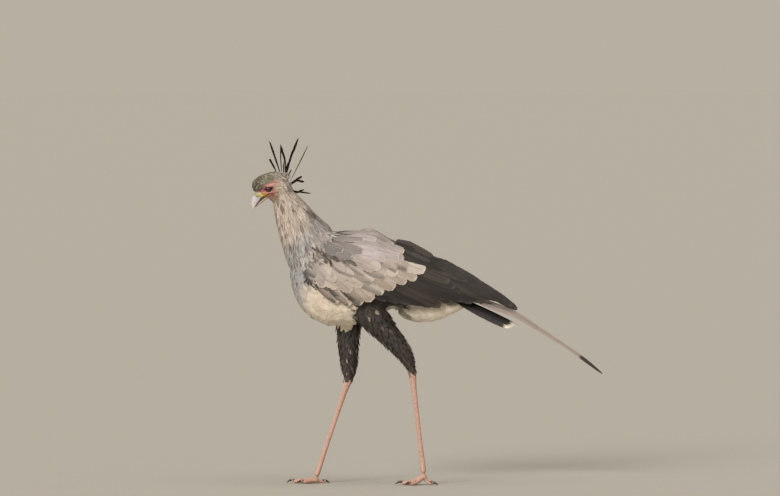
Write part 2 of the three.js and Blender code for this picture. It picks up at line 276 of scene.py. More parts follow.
def under_wing(points, normals):
    """True where a wing's node lies over the body, seen from outside."""
    covered = []
    for point, normal in zip(points.tolist(), normals.tolist()):
        way = Vector(normal)
        hit = NODE_TREE.ray_cast(Vector(point) + way * 40, -way, 46)[2]
        covered.append(hit is not None and NODE_NAMES[NODE_OWNER[hit]].startswith("wing"))
    return np.array(covered)


def body_surface(names, grow, rounds):
    """The named nodes and the nape as one smooth closed surface."""
    points, faces, _ = welded(names, grow)
    nape, nape_faces = trimmed_nape()
    faces = np.vstack([faces, nape_faces + len(points)])
    points = np.vstack([points, nape])
    points, faces = remeshed(points, faces, VOXEL)
    return eased(points, edge_pairs(faces), rounds), faces


# Meshes


def made_object(name, points, faces, material):
    """A mesh piece from points in millimetres and one or more arrays of faces."""
    mesh = bpy.data.meshes.new(name)
    groups = faces if isinstance(faces, list) else [faces]
    corners = np.concatenate([group.ravel() for group in groups])
    totals = np.concatenate([np.full(len(group), group.shape[1]) for group in groups])
    mesh.vertices.add(len(points))
    mesh.vertices.foreach_set("co", (points * MM).astype(np.float32).ravel())
    mesh.loops.add(len(corners))
    mesh.loops.foreach_set("vertex_index", corners.astype(np.int32))
    mesh.polygons.add(len(totals))
    mesh.polygons.foreach_set("loop_start", (np.cumsum(totals) - totals).astype(np.int32))
    mesh.update(calc_edges=True)
    mesh.validate()
    mesh.polygons.foreach_set("use_smooth", np.ones(len(totals), bool))
    mesh.materials.append(material)
    piece = placed(name, mesh)
    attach(piece, "root")
    return piece


def give_colour(piece, colours):
    layer = piece.data.color_attributes.new("plumage", "FLOAT_COLOR", "POINT")
    full = np.ones((len(colours), 4), np.float32)
    full[:, :3] = colours
    layer.data.foreach_set("color", full.ravel())


def give_vector(piece, values, name):
    layer = piece.data.attributes.new(name, "FLOAT_VECTOR", "POINT")
    layer.data.foreach_set("vector", values.astype(np.float32).ravel())


def give_map(piece, places):
    """The bake's map, from a place for each point."""
    layer = piece.data.uv_layers.new(name="OFBake")
    corners = np.zeros(len(piece.data.loops), np.int32)
    piece.data.loops.foreach_get("vertex_index", corners)
    layer.uv.foreach_set("vector", places[corners].astype(np.float32).ravel())


def unwrapped(points):
    """Each point's place on the skin's unwrap: the body slit along the belly, and a strip for each leg."""
    stage, turn = along_spine(points)
    which = owners(points)
    leg = owned(which, "thigh", "shank", "foot")
    body = np.stack([0.02 + 0.7 * turn, 0.02 + 0.96 * stage / SPINE_LENGTH], 1)
    middle = np.where(points[:, 1] < 0, -44.0, 44.0)
    behind = points[:, 0] + 230 - 0.6 * (560 - points[:, 2])
    round_leg = np.arctan2(points[:, 1] - middle, behind) / (2 * math.pi)
    high = points[:, 2] / 600
    strip = np.where(points[:, 1] < 0, 0.75, 0.88)
    legs = np.stack([strip + 0.11 * (round_leg + 0.5), 0.02 + 0.96 * high], 1)
    return np.clip(np.where(leg[:, None], legs, body), 0.003, 0.997)


PATCH = 0.003  # a tuft's patch on the bake's map


def vane_mesh(top, under, along, across, tint, colours, places):
    """Closed feathers from top points F x R x K x 3 and a middle line below F x R x 3.

    along is F x R, across has K values, tint F, colours F x R x K x 3, and places F x 4: the middle and the
    width and height of each feather's patch on the bake's map.
    """
    feathers, rows, columns = top.shape[:3]
    ring = columns + 1
    points = np.concatenate([top, under[:, :, None]], 2).reshape(-1, 3)
    first = (np.arange(feathers) * rows * ring)[:, None, None]
    r = np.arange(rows - 1)[None, :, None] * ring
    k = np.arange(ring)[None, None, :]
    beside = (k + 1) % ring
    quads = np.stack([first + r + k, first + r + beside, first + r + ring + beside, first + r + ring + k], -1)
    fan = np.array([(columns, i, i + 1) for i in range(columns - 1)])
    last = (rows - 1) * ring
    root_caps = first + fan[None, :, ::-1]
    tip_caps = first + last + fan[None]
    shape = (feathers, rows, ring)
    sideways = np.broadcast_to(np.append(across, 0.0)[None, None], shape)
    lengthways = np.broadcast_to(along[:, :, None], shape)
    shade = np.broadcast_to(tint[:, None, None], shape)
    vane = np.stack([sideways, lengthways, shade], -1).reshape(-1, 3)
    tones = np.concatenate([colours, colours[:, :, columns // 2][:, :, None]], 2).reshape(-1, 3)
    u = places[:, 0, None, None] + places[:, 2, None, None] * sideways * 0.5
    v = places[:, 1, None, None] + places[:, 3, None, None] * (lengthways - 0.5)
    uv = np.stack([u, v], -1).reshape(-1, 2)
    faces = [quads.reshape(-1, 4), np.vstack([root_caps.reshape(-1, 3), tip_caps.reshape(-1, 3)])]
    return points, faces, vane, tones, uv


def crisp_rims(piece, vane):
    """Sharp edges round each vane, so the light on its face does not bend at its rim."""
    mesh = piece.data
    ends = np.zeros(len(mesh.edges) * 2, np.int32)
    mesh.edges.foreach_get("vertices", ends)
    first, second = vane[ends[::2]], vane[ends[1::2]]
    rim = (np.abs(first[:, 0]) > 0.999) & (first[:, 0] == second[:, 0])
    end = (first[:, 1] == second[:, 1]) & ((first[:, 1] == 0) | (first[:, 1] == 1))
    layer = mesh.attributes.new("sharp_edge", "BOOLEAN", "EDGE")
    layer.data.foreach_set("value", rim | end)


def feather_piece(name, lot, material):
    """One object from a lot of feathers as vane_mesh gives it."""
    points, faces, vane, tones, places = lot
    piece = made_object(name, points, faces, material)
    crisp_rims(piece, vane)
    give_vector(piece, vane, "vane")
    give_colour(piece, tones)
    give_map(piece, places)
    return piece


def tube_faces(rings, around):
    """The faces of a tube whose two end points come after its rings."""
    r = np.arange(rings - 1)[:, None] * around
    k = np.arange(around)[None]
    beside = (k + 1) % around
    quads = np.stack([r + k, r + beside, r + around + beside, r + around + k], -1).reshape(-1, 4)
    k, beside = k[0], beside[0]
    last = (rings - 1) * around
    near = np.stack([np.full(around, rings * around), beside, k], 1)
    far = np.stack([np.full(around, rings * around + 1), last + k, last + beside], 1)
    return [quads, np.vstack([near, far])]


def loft_points(rings, around, along, form, tilt=None):
    """A closed tube along rings of (x, y, z, half height, half width). form bends each ring's round."""
    rings = np.array(rings, float)
    knots = np.concatenate([[0], np.cumsum(np.linalg.norm(np.diff(rings[:, :3], axis=0), axis=1))])
    wanted = np.linspace(0, knots[-1], along)
    at = np.stack([curve_through(knots, rings[:, column], wanted) for column in range(5)], 1)
    forward = unit(np.gradient(at[:, :3], axis=0))
    sideways = np.broadcast_to(np.array([0.0, 1.0, 0.0] if tilt is None else tilt), forward.shape)
    sideways = unit(sideways - forward * (sideways * forward).sum(1, keepdims=True))
    up = np.cross(forward, sideways)
    turn = np.linspace(0, 2 * math.pi, around, endpoint=False)
    share = wanted / knots[-1]
    wide, high = form(turn[None, :], share[:, None])
    points = (
        at[:, None, :3]
        + sideways[:, None] * (at[:, 4, None] * wide)[..., None]
        + up[:, None] * (at[:, 3, None] * high)[..., None]
    )
    ends = np.array([at[0, :3], at[-1, :3]])
    flat = np.vstack([points.reshape(-1, 3), ends])
    middle = flat[: along * around].mean(0)
    return flat, facing_out(flat, tube_faces(along, around), middle)


def facing_out(points, faces, middle):
    """The faces, turned so that they look away from the middle on the whole."""
    corners = points[faces[0]]
    normal = np.cross(corners[:, 2] - corners[:, 0], corners[:, 3] - corners[:, 1])
    volume = (normal * (corners.mean(1) - middle)).sum()
    return [group[:, ::-1] for group in faces] if volume < 0 else faces


def curve_through(knots, values, wanted):
    """A smooth curve through the values that doesn't swing past them."""
    step = np.diff(knots)
    slope = np.diff(values) / step
    tangent = np.zeros(len(values))
    tangent[1:-1] = np.where(slope[1:] * slope[:-1] > 0, (slope[1:] + slope[:-1]) / 2, 0)
    tangent[0], tangent[-1] = slope[0], slope[-1]
    i = np.clip(np.searchsorted(knots, wanted, side="right") - 1, 0, len(step) - 1)
    h = step[i]
    t = (wanted - knots[i]) / h
    return (
        values[i] * (2 * t**3 - 3 * t**2 + 1)
        + tangent[i] * h * (t**3 - 2 * t**2 + t)
        + values[i + 1] * (3 * t**2 - 2 * t**3)
        + tangent[i + 1] * h * (t**3 - t**2)
    )


def oval(turn, share):
    return np.cos(turn) + 0 * share, np.sin(turn) + 0 * share


# Shader node groups and materials


SOCKET_KINDS = {float: "NodeSocketFloat", tuple: "NodeSocketColor", type(None): "NodeSocketVector"}


def group(name, inputs):
    """A node group with these inputs, its sockets inside, and a colour and a height to put out."""
    tree = bpy.data.node_groups.new(name, "ShaderNodeTree")
    for socket, value in inputs.items():
        made = tree.interface.new_socket(socket, in_out="INPUT", socket_type=SOCKET_KINDS[type(value)])
        if value is not None:
            made.default_value = value
    for socket, kind in (("Colour", "NodeSocketColor"), ("Height", "NodeSocketFloat")):
        tree.interface.new_socket(socket, in_out="OUTPUT", socket_type=kind)
    return tree, tree.nodes.new("NodeGroupInput").outputs, tree.nodes.new("NodeGroupOutput").inputs


def sum_node(tree, kind, first, second=None, third=None):
    """A Math node of links or numbers, as its output."""
    node = tree.nodes.new("ShaderNodeMath")
    node.operation = kind
    for socket, value in zip(node.inputs, (first, second, third)):
        link_or_set(tree, socket, value)
    return node.outputs[0]


def step_node(tree, low, high, value):
    """0 below low to 1 above high, smoothly."""
    node = tree.nodes.new("ShaderNodeMapRange")
    node.interpolation_type = "SMOOTHSTEP"
    node.inputs["From Min"].default_value = low
    node.inputs["From Max"].default_value = high
    tree.links.new(value, node.inputs["Value"])
    return node.outputs["Result"]


def mix_node(tree, share, first, second):
    node = tree.nodes.new("ShaderNodeMix")
    node.data_type = "RGBA"
    node.clamp_factor = True
    for socket, value in ((node.inputs[0], share), (node.inputs[6], first), (node.inputs[7], second)):
        link_or_set(tree, socket, value)
    return node.outputs[2]


def link_or_set(tree, socket, value):
    """Joins a link to a socket, or sets the socket to a number or a colour."""
    if isinstance(value, bpy.types.NodeSocket):
        tree.links.new(value, socket)
    elif isinstance(value, (int, float)):
        socket.default_value = value
    elif socket.type == "RGBA":
        socket.default_value = (*[float(part) for part in value], 1.0)


def parts_node(tree, vector):
    """The three parts of a vector."""
    node = tree.nodes.new("ShaderNodeSeparateXYZ")
    tree.links.new(vector, node.inputs[0])
    return node.outputs


def scaled_node(tree, colour, share):
    """A colour made lighter or darker."""
    node = tree.nodes.new("ShaderNodeVectorMath")
    node.operation = "SCALE"
    tree.links.new(colour, node.inputs[0])
    tree.links.new(share, node.inputs["Scale"])
    return node.outputs[0]


def noise_node(tree, scale, detail, rough=0.5):
    """Cloudy noise in the object's own space, in metres."""
    place = tree.nodes.new("ShaderNodeTexCoord").outputs["Object"]
    node = tree.nodes.new("ShaderNodeTexNoise")
    node.inputs["Scale"].default_value = scale
    node.inputs["Detail"].default_value = detail
    node.inputs["Roughness"].default_value = rough
    tree.links.new(place, node.inputs["Vector"])
    return node.outputs["Fac"]


def vane_group():
    """Shaft, barbs, pale rim and dark root of a feather, from where a point lies on its vane."""
    tree, given, out = group(
        "Feather vane",
        {
            "Colour": (0.5, 0.5, 0.5, 1),
            "Vane": None,
            "Rim colour": (0.8, 0.75, 0.65, 1),
            "Rim": 0.3,
            "Shaft colour": (0.1, 0.1, 0.1, 1),
            "Shaft": 0.3,
            "Barbs": 30.0,
            "Root shade": 0.4,
            "Variation": 0.25,
        },
    )
    across, along, tint = parts_node(tree, given["Vane"])
    off = sum_node(tree, "ABSOLUTE", across)
    # barbs run out and forward from the shaft
    sweep = sum_node(tree, "MULTIPLY_ADD", off, -0.34, along)
    wave = sum_node(tree, "MULTIPLY", sweep, given["Barbs"])
    jitter = noise_node(tree, 240, 2)
    wave = sum_node(tree, "MULTIPLY_ADD", jitter, 0.7, wave)
    wave = sum_node(tree, "SINE", sum_node(tree, "MULTIPLY", wave, 6.2832))
    shaft = step_node(tree, 0.09, 0.03, off)
    end = sum_node(tree, "POWER", along, 5.0)
    edge = sum_node(tree, "MAXIMUM", sum_node(tree, "POWER", off, 3.0), end)
    rim = step_node(tree, 0.66, 0.97, edge)
    rim = sum_node(tree, "MULTIPLY", rim, given["Rim"])
    coloured = mix_node(tree, rim, given["Colour"], given["Rim colour"])
    shaft_share = sum_node(tree, "MULTIPLY", shaft, given["Shaft"])
    coloured = mix_node(tree, shaft_share, coloured, given["Shaft colour"])
    # light and dark: barbs, a cloud, the feather's own tint and its shaded root
    light = sum_node(tree, "MULTIPLY_ADD", wave, 0.07, 1.0)
    cloud = sum_node(tree, "MULTIPLY_ADD", noise_node(tree, 60, 3), 0.3, 0.85)
    light = sum_node(tree, "MULTIPLY", light, cloud)
    own = sum_node(tree, "MULTIPLY", sum_node(tree, "SUBTRACT", tint, 0.5), given["Variation"])
    light = sum_node(tree, "MULTIPLY", light, sum_node(tree, "ADD", own, 1.0))
    root = step_node(tree, 0.62, 0.15, along)
    root = sum_node(tree, "MULTIPLY", root, given["Root shade"])
    light = sum_node(tree, "MULTIPLY", light, sum_node(tree, "SUBTRACT", 1.0, root))
    tree.links.new(scaled_node(tree, coloured, light), out["Colour"])
    height = sum_node(tree, "MULTIPLY_ADD", wave, 0.25, shaft)
    tree.links.new(height, out["Height"])
    return tree


def grain_group():
    """Fine pores and folds of bare skin or horn."""
    tree, given, out = group(
        "Skin grain",
        {
            "Colour": (0.5, 0.5, 0.5, 1),
            "Dark colour": (0.2, 0.1, 0.1, 1),
            "Pore scale": 900.0,
            "Blotches": 0.4,
        },
    )
    place = tree.nodes.new("ShaderNodeTexCoord").outputs["Object"]
    cells = tree.nodes.new("ShaderNodeTexVoronoi")
    cells.feature = "DISTANCE_TO_EDGE"
    tree.links.new(place, cells.inputs["Vector"])
    tree.links.new(given["Pore scale"], cells.inputs["Scale"])
    lines = step_node(tree, 0.0, 0.16, cells.outputs["Distance"])
    blotch = step_node(tree, 0.42, 0.68, noise_node(tree, 160, 4, 0.6))
    blotch = sum_node(tree, "MULTIPLY", blotch, given["Blotches"])
    coloured = mix_node(tree, blotch, given["Colour"], given["Dark colour"])
    # painted shade in the creases: the colour darkens along the folds' lines, where the bump sinks
    crease_shade = sum_node(tree, "MULTIPLY_ADD", lines, 0.25, 0.75)
    tree.links.new(scaled_node(tree, coloured, crease_shade), out["Colour"])
    height = sum_node(tree, "MULTIPLY_ADD", noise_node(tree, 420, 3), 0.6, lines)
    tree.links.new(height, out["Height"])
    return tree


VANE = vane_group()
GRAIN = grain_group()


def new_material(name, roughness, **sockets):
    """A material with its Principled shader, whose constants go straight on its sockets."""
    material = bpy.data.materials.new(name)
    material.use_nodes = True
    tree = material.node_tree
    shader = tree.nodes["Principled BSDF"]
    shader.inputs["Roughness"].default_value = roughness
    for socket, value in sockets.items():
        shader.inputs[socket.replace("_", " ")].default_value = value
    return material, tree, shader


def attribute(tree, name):
    node = tree.nodes.new("ShaderNodeAttribute")
    node.attribute_name = name
    return node


def bumped(tree, shader, height, distance, strength=0.6):
    bump = tree.nodes.new("ShaderNodeBump")
    bump.inputs["Strength"].default_value = strength
    bump.inputs["Distance"].default_value = distance
    tree.links.new(height, bump.inputs["Height"])
    tree.links.new(bump.outputs["Normal"], shader.inputs["Normal"])


def grouped_material(name, group_tree, values, depth, roughness, **sockets):
    """A material whose colour and bump come from a node group with these values on its sockets."""
    material, tree, shader = new_material(name, roughness, **sockets)
    effect = tree.nodes.new("ShaderNodeGroup")
    effect.node_tree = group_tree
    for socket, value in values.items():
        link_or_set(tree, effect.inputs[socket], value)
    if "Colour" not in values:
        tree.links.new(attribute(tree, "plumage").outputs["Color"], effect.inputs["Colour"])
    if "Vane" in effect.inputs:
        tree.links.new(attribute(tree, "vane").outputs["Vector"], effect.inputs["Vane"])
    tree.links.new(effect.outputs["Colour"], shader.inputs["Base Color"])
    bumped(tree, shader, effect.outputs["Height"], depth)
    return material


VANE_BUMP = 0.0004  # metres


def feather_material(name, roughness, rim, shaft, barbs, root_shade, variation, **sockets):
    """A feather's material. rim and shaft each hold a colour and how strongly it shows."""
    values = {
        "Rim colour": paint(*rim[0]),
        "Rim": rim[1],
        "Shaft colour": paint(*shaft[0]),
        "Shaft": shaft[1],
        "Barbs": barbs,
        "Root shade": root_shade,
        "Variation": variation,
    }
    return grouped_material(name, VANE, values, VANE_BUMP, roughness, **sockets)


def grained_material(name, roughness, depth, dark, pores, blotches, colour=None):
    """Bare skin or horn, in one colour or in the colours that the mesh carries."""
    values = {"Dark colour": paint(*dark), "Pore scale": pores, "Blotches": blotches}
    if colour:
        values["Colour"] = paint(*colour)
    return grouped_material(name, GRAIN, values, depth, roughness)


SOFT_FEATHER = feather_material(
    "soft feather", 0.9, ((224, 212, 198), 0.12), ((150, 140, 130), 0.15), 14, 0.14, 0.08
)
SHOULDER_FEATHER = feather_material(
    "shoulder feather", 0.8, ((208, 199, 197), 0.55), ((98, 90, 88), 0.45), 40, 0.16, 0.16
)
WING_FEATHER = feather_material(
    "wing covert", 0.8, ((222, 208, 192), 0.6), ((112, 100, 90), 0.45), 34, 0.16, 0.12
)
WRIST_FEATHER = feather_material(
    "lesser covert", 0.85, ((204, 192, 178), 0.3), ((112, 102, 94), 0.35), 20, 0.14, 0.22
)
BLACK_FEATHER = feather_material(
    "flight feather", 0.6, ((88, 78, 70), 0.32), ((24, 20, 18), 0.6), 60, 0.25, 0.4
)
PLUME_FEATHER = feather_material(
    "crest plume", 0.9, ((64, 48, 34), 0.1), ((14, 10, 8), 0.5), 40, 0.2, 0.2, Specular_IOR_Level=0.15
)
TAIL_FEATHER = feather_material(
    "tail feather", 0.45, ((150, 140, 130), 0.12), ((30, 26, 24), 0.6), 70, 0.1, 0.2
)
DARK_TUFT = feather_material("thigh feather", 0.65, ((78, 66, 56), 0.18), ((20, 17, 16), 0.3), 12, 0.3, 0.4)
SKIN = grained_material("skin", 0.55, 0.0004, (128, 70, 62), 850, 0.2)
SCALE = grained_material("leg scale", 0.45, 0.0003, (120, 84, 76), 420, 0.3)
HORN = grained_material("bill horn", 0.42, 0.0001, (120, 110, 112), 300, 0.18)
CLAW = grained_material("claw horn", 0.38, 0.0002, (24, 20, 18), 500, 0.4, (62, 52, 48))
LASH = grained_material("lash", 0.4, 0.0001, (8, 7, 7), 900, 0.3, (18, 14, 13))


# Markings


def scapular_tone(x):
    """Cool grey, darker at the shoulder and paler behind."""
    return blend(paint(112, 107, 107), paint(164, 154, 152), smooth(-345, -170, x))


def coat_colour(points, which, stage):
    """The plumage's colour at a place, the same for the feathers and the skin under them."""
    x, z = points[:, 0], points[:, 2]
    crown = blend(paint(78, 75, 62), paint(116, 112, 96), smooth(-502, -468, x))
    crown = blend(crown, paint(142, 133, 127), smooth(-466, -442, x))
    crown = blend(crown, paint(84, 74, 68), np.exp(-((x + 419) / 9) ** 2 - ((z - 893) / 9) ** 2))
    cheek = blend(paint(150, 134, 114), paint(198, 184, 166), smooth(-455, -428, x))
    cheek = blend(cheek, paint(158, 146, 136), smooth(868, 884, z))
    brow = np.interp(x, (-512, -500, -488, -470, -440, -420), (844, 850, 858, 868, 880, 874))
    head = blend(cheek, crown, smooth(-3, 8, z - brow))
    neck = blend(paint(176, 163, 151), paint(148, 140, 137), smooth(-395, -335, x))
    blue_grey = paint(148, 147, 149)
    neck = blend(neck, blue_grey, smooth(200, 270, stage) * smooth(-325, -365, x))
    coloured = blend(head, neck, smooth(84, 150, stage))
    belly = smooth(622, 580, z) * smooth(-398, -368, x)
    white = blend(paint(212, 199, 182), paint(228, 216, 198), smooth(-350, -290, x))
    trunk = blend(paint(160, 158, 156), white, belly)
    back = smooth(625, 650, z) * smooth(-330, -290, x)
    trunk = blend(trunk, paint(150, 144, 141), back)
    # the pale undertail, made paler still as painted light against the shade it lies in
    trunk = blend(trunk, paint(248, 236, 218), smooth(-90, -30, x) * smooth(585, 570, z))
    vent = smooth(-250, -232, x) * smooth(-72, -96, x) * smooth(578, 552, z)
    vent = vent * (1 - smooth(-172, -150, x) * smooth(516, 506, z))
    trunk = blend(trunk, paint(46, 40, 37), vent)
    coloured = blend(coloured, trunk, smooth(330, 380, stage))
    coloured = blend(coloured, paint(46, 40, 37), owned(which, "thigh").astype(float))
    leg = owned(which, "shank", "foot").astype(float)
    coloured = blend(coloured, paint(196, 158, 142), leg)
    wing_tones = {"scapulars": scapular_tone(x), "coverts": paint(168, 156, 146)}
    for part in WING_PARTS:
        mine = np.array([name.endswith(part) for name in NODE_NAMES])[which]
        coloured = blend(coloured, wing_tones.get(part, paint(56, 50, 48)), mine.astype(float))
    return coloured


# The bare face round the eye, as (x, z) of its edge
BARE_FACE = np.array(
    [(-506, 850), (-499, 856), (-488, 863), (-474, 871), (-456, 879), (-441, 885), (-436, 886), (-438, 881),
     (-445, 874), (-451, 868), (-450, 858), (-446, 848), (-448, 840), (-454, 836), (-462, 835), (-478, 834),
     (-497, 838)],
    float,
)


def inside_edge(points, edge):
    """How far inside a closed outline each (x, z) lies, negative outside."""
    x, z = points[:, 0], points[:, 1]
    nearest = np.full(len(points), 1e9)
    inside = np.zeros(len(points), bool)
    for (ax, az), (bx, bz) in zip(edge, np.roll(edge, -1, axis=0)):
        way = np.array([bx - ax, bz - az])
        share = np.clip(((x - ax) * way[0] + (z - az) * way[1]) / (way @ way), 0, 1)
        nearest = np.minimum(nearest, np.hypot(x - ax - share * way[0], z - az - share * way[1]))
        crosses = (az > z) != (bz > z)
        at = ax + (z - az) / (bz - az if bz != az else 1e-9) * (bx - ax)
        inside ^= crosses & (x < at)
    return np.where(inside, nearest, -nearest)


def bare_face(points):
    """How far inside the bare face each point lies."""
    return inside_edge(points[:, [0, 2]], BARE_FACE)


# Soft patches of the bare face: middle x, z, reach along, reach across, tilt in degrees, colour, strength
FACE_PATCHES = [
    ((-458, 871), 22, 4.6, 16, (220, 166, 156), 0.95),
    ((-489, 858), 12, 6, 24, (96, 50, 48), 0.95),
    ((-500, 850), 9, 4, 20, (186, 140, 130), 0.9),
    ((-470, 849), 20, 3.6, 4, (206, 152, 138), 0.9),
    ((-476, 842.5), 15, 3.0, -7, (216, 176, 74), 1.0),
    ((-450, 842), 7, 5, 0, (142, 78, 70), 0.8),
    ((-436, 884), 9, 5, 30, (178, 156, 148), 0.9),
    ((-448, 860), 5, 12, 0, (180, 138, 122), 0.8),
    # the dark oval round the eye: dark skin, with the brow's shadow over the eye painted in
    ((-463, 859.5), 19, 5.2, 9, (30, 16, 16), 1.0),
    ((-465, 843), 13, 1.8, 22, (38, 26, 18), 1.0),
]


def patched(coloured, points, patches, share=1.0):
    """The colours with soft oval patches laid over them in turn."""
    for (x, z), reach, across, tilt, colour, strength in patches:
        turn = math.radians(tilt)
        away = points[:, [0, 2]] - (x, z)
        u = (away[:, 0] * math.cos(turn) + away[:, 1] * math.sin(turn)) / reach
        v = (away[:, 1] * math.cos(turn) - away[:, 0] * math.sin(turn)) / across
        patch = strength * smooth(1.25, 0.45, np.hypot(u, v))
        coloured = blend(coloured, paint(*colour), share * patch)
    return coloured


def face_colour(points):
    """The bare face: orange-red skin with its maroon lore, pink brow and yellow gape, and dark skin round the
    eye with the brow's shadow painted over it.
    """
    return patched(np.broadcast_to(paint(168, 100, 94), points.shape).copy(), points, FACE_PATCHES)


# The eye's place

EYE_PLACE = np.array([-463.5, 22.0, 859.0])
EYE_RADIUS = 9.5
LID_THICKNESS = 0.9
EYE_OPENING = (9.6, 4.2)  # half length and half height between the lids
EYE_TILT = math.radians(8)  # the back corner stands higher


def eye_offset(points):
    """Each point's place in the eye's opening, 1 on its rim, and its distance from the eye's middle."""
    away = points[:, [0, 2]] - EYE_PLACE[[0, 2]]
    u = away[:, 0] * math.cos(EYE_TILT) + away[:, 1] * math.sin(EYE_TILT)
    v = away[:, 1] * math.cos(EYE_TILT) - away[:, 0] * math.sin(EYE_TILT)
    # the corners come to a point
    narrow = 1 + 0.35 * (u / EYE_OPENING[0]) ** 2
    return np.hypot(u / EYE_OPENING[0], v * narrow / EYE_OPENING[1]), np.hypot(u, v)


def line_gap(points, corners):
    """How far each point lies from a line in the profile."""
    flat = points[:, [0, 2]]
    nearest = np.full(len(points), 1e9)
    for start, end in zip(np.array(corners[:-1], float), np.array(corners[1:], float)):
        way = end - start
        share = np.clip((flat - start) @ way / (way @ way), 0, 1)
        nearest = np.minimum(nearest, np.linalg.norm(flat - start - share[:, None] * way, axis=1))
    return nearest


def ridge(points, corners, width):
    """1 on a line of the profile, fading to the sides."""
    return np.exp(-((line_gap(points, corners) / width) ** 2))


# Ridges and furrows of the face: height, ends as (x, z) and width
FACE_RIDGES = [
    (2.0, ((-486, 869), (-447, 880)), 3.6),
    (-1.2, ((-492, 856), (-482, 860)), 5.0),
    (0.7, ((-484, 845), (-452, 849)), 2.6),
    (-0.8, ((-452, 843), (-438, 834)), 1.5),
    (0.6, ((-450, 838), (-440, 830)), 1.6),
    (-0.5, ((-474, 851), (-450, 853)), 1.2),
    (-0.5, ((-446, 868), (-438, 876)), 1.3),
]


def face_relief(points):
    """How far the face stands proud of the plain head."""
    return sum(height * ridge(points, ends, width) for height, ends, width in FACE_RIDGES)


def lidded(points):
    """The head's points with the lids drawn round the eyes, and open between them."""
    rim, far = eye_offset(points)
    out = np.abs(points[:, 1])
    ball = EYE_PLACE[1] + np.sqrt(np.maximum((EYE_RADIUS + LID_THICKNESS) ** 2 - far**2, 0))
    near = smooth(2.5, 1.2, rim)
    lid = np.maximum(out, ball)
    fold = -0.7 * np.exp(-(((rim - 1.5) / 0.14) ** 2)) + 0.35 * np.exp(-(((rim - 1.12) / 0.12) ** 2))
    shaped = out + near * (lid - out) + fold * near
    shaped = np.where(rim < 1, shaped - 5.5 * smooth(1.0, 0.84, rim), shaped)
    at_eye = (rim < 2.6) & (out > 8)
    moved = points.copy()
    moved[:, 1] = np.where(at_eye, np.sign(points[:, 1]) * shaped, points[:, 1])
    return moved


# The skin

# How far the skin lies under each node's surface
SKIN_DEPTH = {
    "head": 2.0, "crest": 4, "neck": 8, "trunk": 8, "rump": 7, "wing": 6,
    "thigh": 7, "shank": 0.9, "foot": 0.9,
}


def split_faces(points, faces, chosen, cuts):
    """The mesh with finer faces where both ends of an edge are chosen."""
    body = opened(points, faces)
    for spot, pick in zip(body.verts, chosen):
        spot.tag = bool(pick)
    edges = [e for e in body.edges if e.verts[0].tag and e.verts[1].tag]
    bmesh.ops.subdivide_edges(body, edges=edges, cuts=cuts, use_grid_fill=True)
    return closed(body)


def as_triangles(faces):
    """Fans of triangles from faces of any number of corners."""
    return np.array([(f[0], f[i], f[i + 1]) for f in faces for i in range(1, len(f) - 1)])


def skin_shape():
    """The skin's points and triangles: the flesh nodes drawn in by the coat's depth, finer at the face."""
    points, faces = body_surface(FLESH + LEG_SKIN + ARMS, 0.5, 2)
    pairs = edge_pairs(faces)
    which = owners(points)
    depth = np.zeros(len(points))
    for start, value in SKIN_DEPTH.items():
        depth[owned(which, start)] = value
    bare = owned(which, "head") & (bare_face(points) > -3)
    depth[bare] = 0.7
    for _ in range(8):
        depth = 0.5 * depth + 0.5 * averaged(depth[:, None], pairs, len(points))[:, 0]
    normals = point_normals(points, faces)
    tree = BVHTree.FromPolygons(points.tolist(), faces.tolist())
    for i in np.nonzero(depth > 1.2)[0]:
        hit = tree.ray_cast(points[i] - normals[i] * 0.5, -normals[i], 3 * depth[i])
        if hit[3] is not None:
            depth[i] = min(depth[i], 0.35 * hit[3])
    depth = averaged(depth[:, None], pairs, len(points))[:, 0]
    points = points - normals * depth[:, None]
    points = eased(points, pairs, 2)
    flat = points[:, [0, 2]]
    face_near = (inside_edge(flat, BARE_FACE) > -7) & (np.abs(points[:, 1]) > 3)
    points, made = split_faces(points, faces.tolist(), face_near, 3)
    rim, _ = eye_offset(points)
    points, made = split_faces(points, made, (rim < 2.3) & (np.abs(points[:, 1]) > 12), 1)
    made = as_triangles(made)
    pairs = edge_pairs(made)
    face = smooth(-8, -2, inside_edge(points[:, [0, 2]], BARE_FACE))[:, None]
    points = eased(points, pairs, 6, face)
    normals = point_normals(points, made)
    points = points + normals * (face_relief(points)[:, None] * face)
    return lidded(points), made


def skin_colour(points):
    """Bare face and legs in full colour, and the plumage's markings under the coat, darkened as painted shade
    in the gaps between the feathers.
    """
    which = owners(points)
    stage, _ = along_spine(points)
    coloured = coat_colour(points, which, stage)
    leg = owned(which, "shank", "foot")
    # painted shade: the skin under the coat is darkened where it shows between the feathers
    coloured = coloured * np.where(leg, 1.0, 0.8)[:, None]
    bare = np.where(owned(which, "head") | (points[:, 0] < -440), bare_face(points), -20)
    coloured = blend(coloured, face_colour(points), smooth(-1.5, 1.5, bare))
    rim, _ = eye_offset(points)
    lid = np.where(points[:, 0] < -440, smooth(1.22, 1.05, rim), 0)
    return blend(coloured, paint(58, 26, 24), lid)


def make_skin():
    points, faces = skin_shape()
    skin = made_object("skin", points, faces, SKIN)
    give_colour(skin, skin_colour(points))
    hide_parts(*FLESH, *LEG_SKIN, "crest")
    return Surface(points, faces)


# Laying feathers on the body


def lines_on(surface, roots, heading, length, rows):
    """Lines that start at the roots and keep to the surface: points and normals, F x rows x 3."""
    spots = np.empty((len(roots), rows, 3))
    normals = np.empty((len(roots), rows, 3))
    nearest = surface.tree.find_nearest
    for i, (root, way, reach) in enumerate(zip(roots.tolist(), heading.tolist(), length.tolist())):
        step = reach / (rows - 1)
        spot, normal, _, _ = nearest(root)
        first = Vector(way)
        way = first
        for r in range(rows):
            spots[i, r] = spot
            normals[i, r] = normal
            way = way * 2 + first
            along = (way - normal * way.dot(normal)).normalized()
            way = along
            ahead = spot + along * step
            found, facing, _, gap = nearest(ahead)
            if gap > step * 0.6 or facing.dot(normal) < 0.3:
                spot = ahead
            else:
                spot = found
                normal = (normal + facing).normalized()
    return spots, normals


